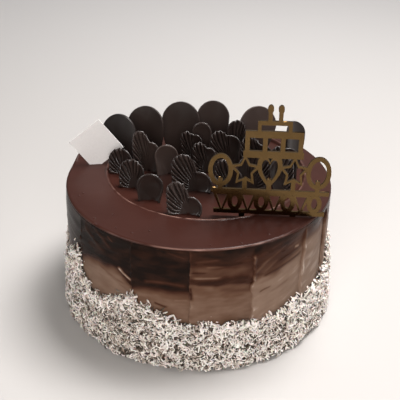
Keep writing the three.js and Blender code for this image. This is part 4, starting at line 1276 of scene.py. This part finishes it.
# %% Squeeze the grid into a petal
# a and b run from -1 to 1, across the grid and up it. Each line is one step: the name of its
# result, what it does, and its values, which are numbers or results of earlier steps.
PETAL_WAIST = 0.35  # how much narrower the foot is than the middle
PETAL_STEPS = [
    ("half", "MULTIPLY", "width", 0.5),
    ("arch", "MAXIMUM", "b", 0.0),  # above 0 in the upper part alone, which is an arch
    ("arch squared", "MULTIPLY", "arch", "arch"),
    ("top squared", "MULTIPLY_ADD", "arch squared", -0.5, 1.0),
    ("narrow top", "SQRT", "top squared"),
    ("below", "MULTIPLY", "b", -1.0),
    ("foot", "MAXIMUM", "below", 0.0),  # above 0 in the lower part alone
    ("foot squared", "MULTIPLY", "foot", "foot"),
    ("narrow foot", "MULTIPLY_ADD", "foot squared", -PETAL_WAIST, 1.0),
    ("across the top", "MULTIPLY", "a", "narrow top"),
    ("share", "MULTIPLY", "across the top", "narrow foot"),
    ("x", "MULTIPLY", "share", "half"),
    ("side", "SUBTRACT", "height", "half"),
    ("risen", "ADD", "b", 1.0),
    ("up the side", "MINIMUM", "risen", 1.0),
    ("straight", "MULTIPLY", "side", "up the side"),
    ("a squared", "MULTIPLY", "a", "a"),
    ("lower squared", "MULTIPLY_ADD", "a squared", -0.5, 1.0),
    ("lower at the sides", "SQRT", "lower squared"),
    ("arch height", "MULTIPLY", "arch", "half"),
    ("arched", "MULTIPLY", "arch height", "lower at the sides"),
    ("z", "ADD", "straight", "arched"),
    ("bent", "MULTIPLY", "share", "share"),
    ("forward", "MULTIPLY", "bend", -1.0),
    ("y", "MULTIPLY", "forward", "bent"),
]

known = {
    "a": at["X"], "b": at["Y"], "width": given["Width"], "height": given["Height"],
    "bend": given["Bend"],
}
for result, operation, *values in PETAL_STEPS:
    inputs = {i: known.get(value, value) for i, value in enumerate(values)}
    known[result] = add(petal_group, "ShaderNodeMath", inputs, operation=operation).outputs[0]
print(len(PETAL_STEPS), "steps shape a petal")

# %% Move the grid's points there, and set its finish
there = add(petal_group, "ShaderNodeCombineXYZ", {
    "X": known["x"], "Y": known["y"], "Z": known["z"],
})
moved = add(petal_group, "GeometryNodeSetPosition", {
    "Geometry": grid.outputs["Mesh"], "Position": there.outputs[0],
})
real = add(petal_group, "GeometryNodeRealizeInstances", {0: moved.outputs[0]})
dressed = add(petal_group, "GeometryNodeSetMaterial", {
    "Geometry": real.outputs[0], "Material": given["Finish"],
})
add(petal_group, "NodeGroupOutput", {0: dressed.outputs[0]})
print(petal_group.name, "has", len(petal_group.nodes), "nodes")

# %% Make the petals
PETAL_BEND = 3.5  # how far its two sides come forward
PETAL_THICKNESS = 1.7
PETAL_COLUMNS, PETAL_ROWS = 25, 29

petals = []
for number, spot in enumerate(PETALS, 1):
    petal = shown(f"chocolate_petal_{number:02d}", bpy.data.meshes.new("petal"))
    shape_with(petal, petal_group, petal_sockets, {
        "Width": spot["width"] * MM, "Height": spot["height"] * MM, "Bend": PETAL_BEND * MM,
        "Columns": PETAL_COLUMNS, "Rows": PETAL_ROWS, "Finish": chocolate,
    })
    thick = petal.modifiers.new("thickness", "SOLIDIFY")
    thick.thickness = PETAL_THICKNESS * MM
    thick.offset = 0
    soft = petal.modifiers.new("soft_edges", "BEVEL")
    soft.width = 0.6 * MM
    soft.segments = 3
    soft.limit_method = "ANGLE"
    soft.angle_limit = math.radians(50)
    plain(petal)
    petal.data.polygons.foreach_set("use_smooth", [True] * len(petal.data.polygons))
    keep_attribute(petal, "bloom", [spot.get("bloom", 0)] * len(petal.data.vertices))
    petals.append(stand(petal, spot, f"petal_{number:02d}"))
print(len(petals), "petals of", len(petals[0].data.polygons), "faces each")

# %% [markdown]
# ## The card
#
# A blank square of white card stands on one corner, pushed into the glaze. Card is matt and
# faintly fibrous, and a cut edge is a little softer than a cut sheet of plastic. Real fibres are
# too fine to show, so they are drawn about a millimetre wide.

# %% Card
CARD = {"x": -80, "y": 19, "side": 30, "thickness": 0.8, "turn": 6, "roll": 37.5, "lean": 4}
CARD_SUNK = 5

card_finish = speckled_finish(
    "smooth_white_card", 900.0, "#e0dfde", "#ebeae9", 0.1, 0.3, Roughness=0.6)

half, thin = CARD["side"] / 2, CARD["thickness"] / 2
corners = [(x, y, z) for z in (-half, half) for y in (-thin, thin) for x in (-half, half)]
box_faces = [(0, 2, 3, 1), (4, 5, 7, 6), (0, 1, 5, 4), (2, 6, 7, 3), (0, 4, 6, 2), (1, 3, 7, 5)]
card = mesh_of("blank_card", corners, box_faces, card_finish, smooth=False)
soft = card.modifiers.new("soft_edges", "BEVEL")
soft.width = 0.15 * MM
soft.segments = 2
plain(card)
card.data.transform(Matrix.Rotation(math.radians(-CARD["roll"]), 4, "Y"))
card.data.transform(Matrix.Translation((0, 0, half * math.sqrt(2) * MM)))
card.data.transform(
    Matrix.Translation(Vector((CARD["x"], CARD["y"], CAKE_HEIGHT - CARD_SUNK)) * MM)
    @ Matrix.Rotation(math.radians(CARD["turn"]), 4, "Z")
    @ Matrix.Rotation(math.radians(-CARD["lean"]), 4, "X"))
print("card", CARD["side"], "mm square")

# %% [markdown]
# ## The topper
#
# Such toppers are cut by laser from a sheet of acrylic with gold mirror film on its face. The
# film is aluminium behind a yellow lacquer, so it reflects as metal, tinted gold, and wavers a
# little because the sheet isn't perfectly flat. The outline is drawn as flat curves, which fill
# themselves, and the parts are joined into one plate by a Boolean, so that no face lies on
# another.

# %% Gilt mirror film
# The sheet wavers over about 17 mm, which is 60 waves to the metre.
gilt = speckled_finish(
    "gold_mirror_acrylic", 60.0, "#5d492b", "#715a3b", 0.6, 0.3, Metallic=1.0, Roughness=0.27)
print(gilt.name)

# %% Cut a plate, and a bar that follows an outline
TOPPER = {"x": 48.5, "y": -55.5, "turn": -3.5, "thickness": 1.8, "width": 84}
STROKE = 3.1  # width of a bar


def plate(*outlines):
    """A flat plate in the XZ plane, from an outline and the outlines of its holes."""
    curve = bpy.data.curves.new("outline", "CURVE")
    curve.dimensions = "2D"
    curve.fill_mode = "BOTH"
    curve.extrude = TOPPER["thickness"] / 2
    for points in outlines:
        spline = curve.splines.new("POLY")
        spline.points.add(len(points) - 1)
        spline.points.foreach_set("co", [c for x, z in points for c in (x, z, 0, 1)])
        spline.use_cyclic_u = True
    holder = shown("outline", curve)
    graph = bpy.context.evaluated_depsgraph_get()
    mesh = bpy.data.meshes.new_from_object(holder.evaluated_get(graph), depsgraph=graph)
    bpy.data.objects.remove(holder)
    mesh.transform(Matrix.Rotation(math.radians(90), 4, "X"))
    return mesh


def bar(x0, z0, x1, z1):
    """A straight bar, from its lower left corner to its upper right one."""
    return plate([(x0, z0), (x1, z0), (x1, z1), (x0, z1)])


def ring(outline, x, z, width, height):
    """A bar of one width that follows an outline."""
    inner = outline(x, z, width / 2 - STROKE, height / 2 - STROKE)
    return plate(outline(x, z, width / 2, height / 2), inner)


print("bars", STROKE, "mm wide, in a sheet", TOPPER["thickness"], "mm thick")


# %% Draw the outlines round a middle, each with half its width and half its height
def oval(x, z, half_width, half_height, steps=40):
    turns = [2 * math.pi * i / steps for i in range(steps)]
    return [(x + half_width * math.cos(t), z + half_height * math.sin(t)) for t in turns]


def star(x, z, half_width, half_height, points=5, notch=0.52):
    outline = []
    for i in range(2 * points):
        reach, turn = (notch if i % 2 else 1), i * math.pi / points
        outline.append((x - reach * half_width * math.sin(turn),
                        z + reach * half_height * math.cos(turn)))
    return outline


def heart(x, z, half_width, half_height, steps=12):
    """Four smooth bends, each drawn from the four points that steer it."""
    bends = [
        ((0, -1), (0.9, -0.25), (1, 0.1), (1, 0.45)), ((1, 0.45), (1, 1.1), (0.2, 1.15), (0, 0.55)),
        ((0, 0.55), (-0.2, 1.15), (-1, 1.1), (-1, 0.45)),
        ((-1, 0.45), (-1, 0.1), (-0.9, -0.25), (0, -1)),
    ]
    outline = []
    for a, b, c, d in bends:
        for i in range(steps):
            t = i / steps
            weights = ((1 - t) ** 3, 3 * t * (1 - t) ** 2, 3 * t * t * (1 - t), t ** 3)
            px = sum(weight * p[0] for weight, p in zip(weights, (a, b, c, d)))
            pz = sum(weight * p[1] for weight, p in zip(weights, (a, b, c, d)))
            outline.append((x + half_width * px, z + half_height * pz))
    return outline


def pennant(x, z, half_width, half_height):
    return [(x, z - half_height), (x + half_width, z + half_height),
            (x - half_width, z + half_height)]


print("a heart of", len(heart(0, 0, 1, 1)), "points")


# %% A small cake with two candles
def cake_motif(x, z):
    """A two-tier cake with windows in its tiers and two candles, standing on a middle point."""
    body_half, tier_half = 20.5, 11.5
    parts = [bar(x - body_half, z, x + body_half, z + 5),
             bar(x - body_half + 1, z + 15, x + body_half - 1, z + 20)]
    for pillar in (-18, -6, 6, 18):
        parts.append(bar(x + pillar - 1.6, z + 4, x + pillar + 1.6, z + 16))
    parts.append(bar(x - tier_half, z + 24.5, x + tier_half, z + 27.5))
    for pillar in (-tier_half + 1.2, tier_half - 1.2):
        parts.append(bar(x + pillar - 1.2, z + 19, x + pillar + 1.2, z + 25))
    for candle in (-3.5, 3.5):
        parts.append(bar(x + candle - 1.4, z + 27, x + candle + 1.4, z + 34))
        parts.append(plate(oval(x + candle, z + 36, 2, 3)))
    return parts


motif = cake_motif(2, 47.5)
print("the small cake is drawn with", len(motif), "plates")

# %% Lay out the rest of the openwork, from the foot rail up
FOOT_RAIL, MID_RAIL = 3, 19.5  # heights above the glaze
SMALL_COUNT, SMALL_INSET = 8, 5  # the row of small forms, and how far in it starts
# Each form has its outline, the height of its middle, its width as a share of its room, and its
# height. A share above 1 makes neighbours overlap, so that they hold each other.
SMALL_FORMS = [(pennant, 12.2, 1.5, 18), (oval, 12.9, 1.12, 15)]  # by turns
TALL_FORMS = [(oval, 37, 1.02, 25), (star, 37, 1.3, 25), (heart, 37, 1.02, 25),
              (star, 37, 1.3, 25), (oval, 37, 1.02, 25)]
STEM_TOP = 31  # each tall form also stands on a stem
PEG_AT, PEG_WIDTH, PEG_LENGTH = 18, 4, 20

half = TOPPER["width"] / 2
openwork = [bar(4 - half, FOOT_RAIL, half - 2, FOOT_RAIL + STROKE),
            bar(2 - half, MID_RAIL, half, MID_RAIL + STROKE)]
room = (TOPPER["width"] - 2 * SMALL_INSET) / SMALL_COUNT
for i in range(SMALL_COUNT):
    outline, up, share, tall = SMALL_FORMS[i % len(SMALL_FORMS)]
    x = SMALL_INSET - half + room * (i + 0.5)
    openwork.append(ring(outline, x, up, room * share, tall))
room = TOPPER["width"] / len(TALL_FORMS)
for i, (outline, up, share, tall) in enumerate(TALL_FORMS):
    x = room * (i + 0.5) - half
    openwork.append(ring(outline, x, up, room * share, tall))
    openwork.append(bar(x - STROKE / 2, MID_RAIL + 1, x + STROKE / 2, STEM_TOP))
openwork += motif
for x in (-PEG_AT, PEG_AT):
    openwork.append(
        bar(x - PEG_WIDTH / 2, FOOT_RAIL - PEG_LENGTH, x + PEG_WIDTH / 2, FOOT_RAIL + 1))
print("the topper is drawn with", len(openwork), "plates")


# %% Join the openwork into one plate
def union(name, meshes):
    """One closed mesh from many that overlap. Its size is still in millimetres."""
    others = bpy.data.collections.new("others")
    objects = [bpy.data.objects.new("part", mesh) for mesh in meshes]
    bpy.context.scene.collection.objects.link(objects[0])
    bpy.context.scene.collection.children.link(others)
    for other in objects[1:]:
        others.objects.link(other)
    join = objects[0].modifiers.new("join", "BOOLEAN")
    join.operation = "UNION"
    join.operand_type = "COLLECTION"
    join.collection = others
    join.solver = "EXACT"
    plain(objects[0])
    for other in objects[1:]:
        bpy.data.objects.remove(other)
    bpy.data.collections.remove(others)
    objects[0].name = name
    return objects[0]


topper = union("gilt_topper", openwork)
topper.data.materials.clear()
topper.data.materials.append(gilt)
topper.data.transform(
    Matrix.Translation(Vector((TOPPER["x"], TOPPER["y"], CAKE_HEIGHT - SUNK_DEPTH)) * MM)
    @ Matrix.Rotation(math.radians(TOPPER["turn"]), 4, "Z") @ Matrix.Scale(MM, 4))
soft = topper.modifiers.new("soft_edges", "BEVEL")
soft.width = 0.22 * MM
soft.segments = 2
soft.limit_method = "ANGLE"
soft.angle_limit = math.radians(60)
plain(topper)
print("the topper has", len(topper.data.polygons), "faces")

# %% [markdown]
# ## Bind every piece to the model
#
# Each piece is listed with a material slot and the plain solid it stands for. It rides on the
# model's one body, and that solid is hidden. The forms that were scattered, and the surface
# under them, have done their work and are removed.

# %% Bind the pieces
for helper in (shred, flake, clean_cover, stained_cover, flake_cover):
    bpy.data.objects.remove(helper)

BODY = "root"
bindings = [
    (side, "frosting", "cake"), (top_piece, "frosting", "cake"), (bubbles, "frosting", "cake"),
    (bed, "coconut", "cake"), *[(piece, "coconut", "cake") for piece in coconut],
    (card, "card", "card"), (topper, "gilt", "topper"),
]
bindings += [(fan, "chocolate", f"fan_{i:02d}") for i, fan in enumerate(fans, 1)]
bindings += [(petal, "chocolate", f"petal_{i:02d}") for i, petal in enumerate(petals, 1)]
for piece, slot, node in bindings:
    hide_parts(node)
    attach(piece, BODY)
print(len(bindings), "pieces are bound")

# %% Set the colour view
bpy.context.scene.view_settings.view_transform = "Standard"
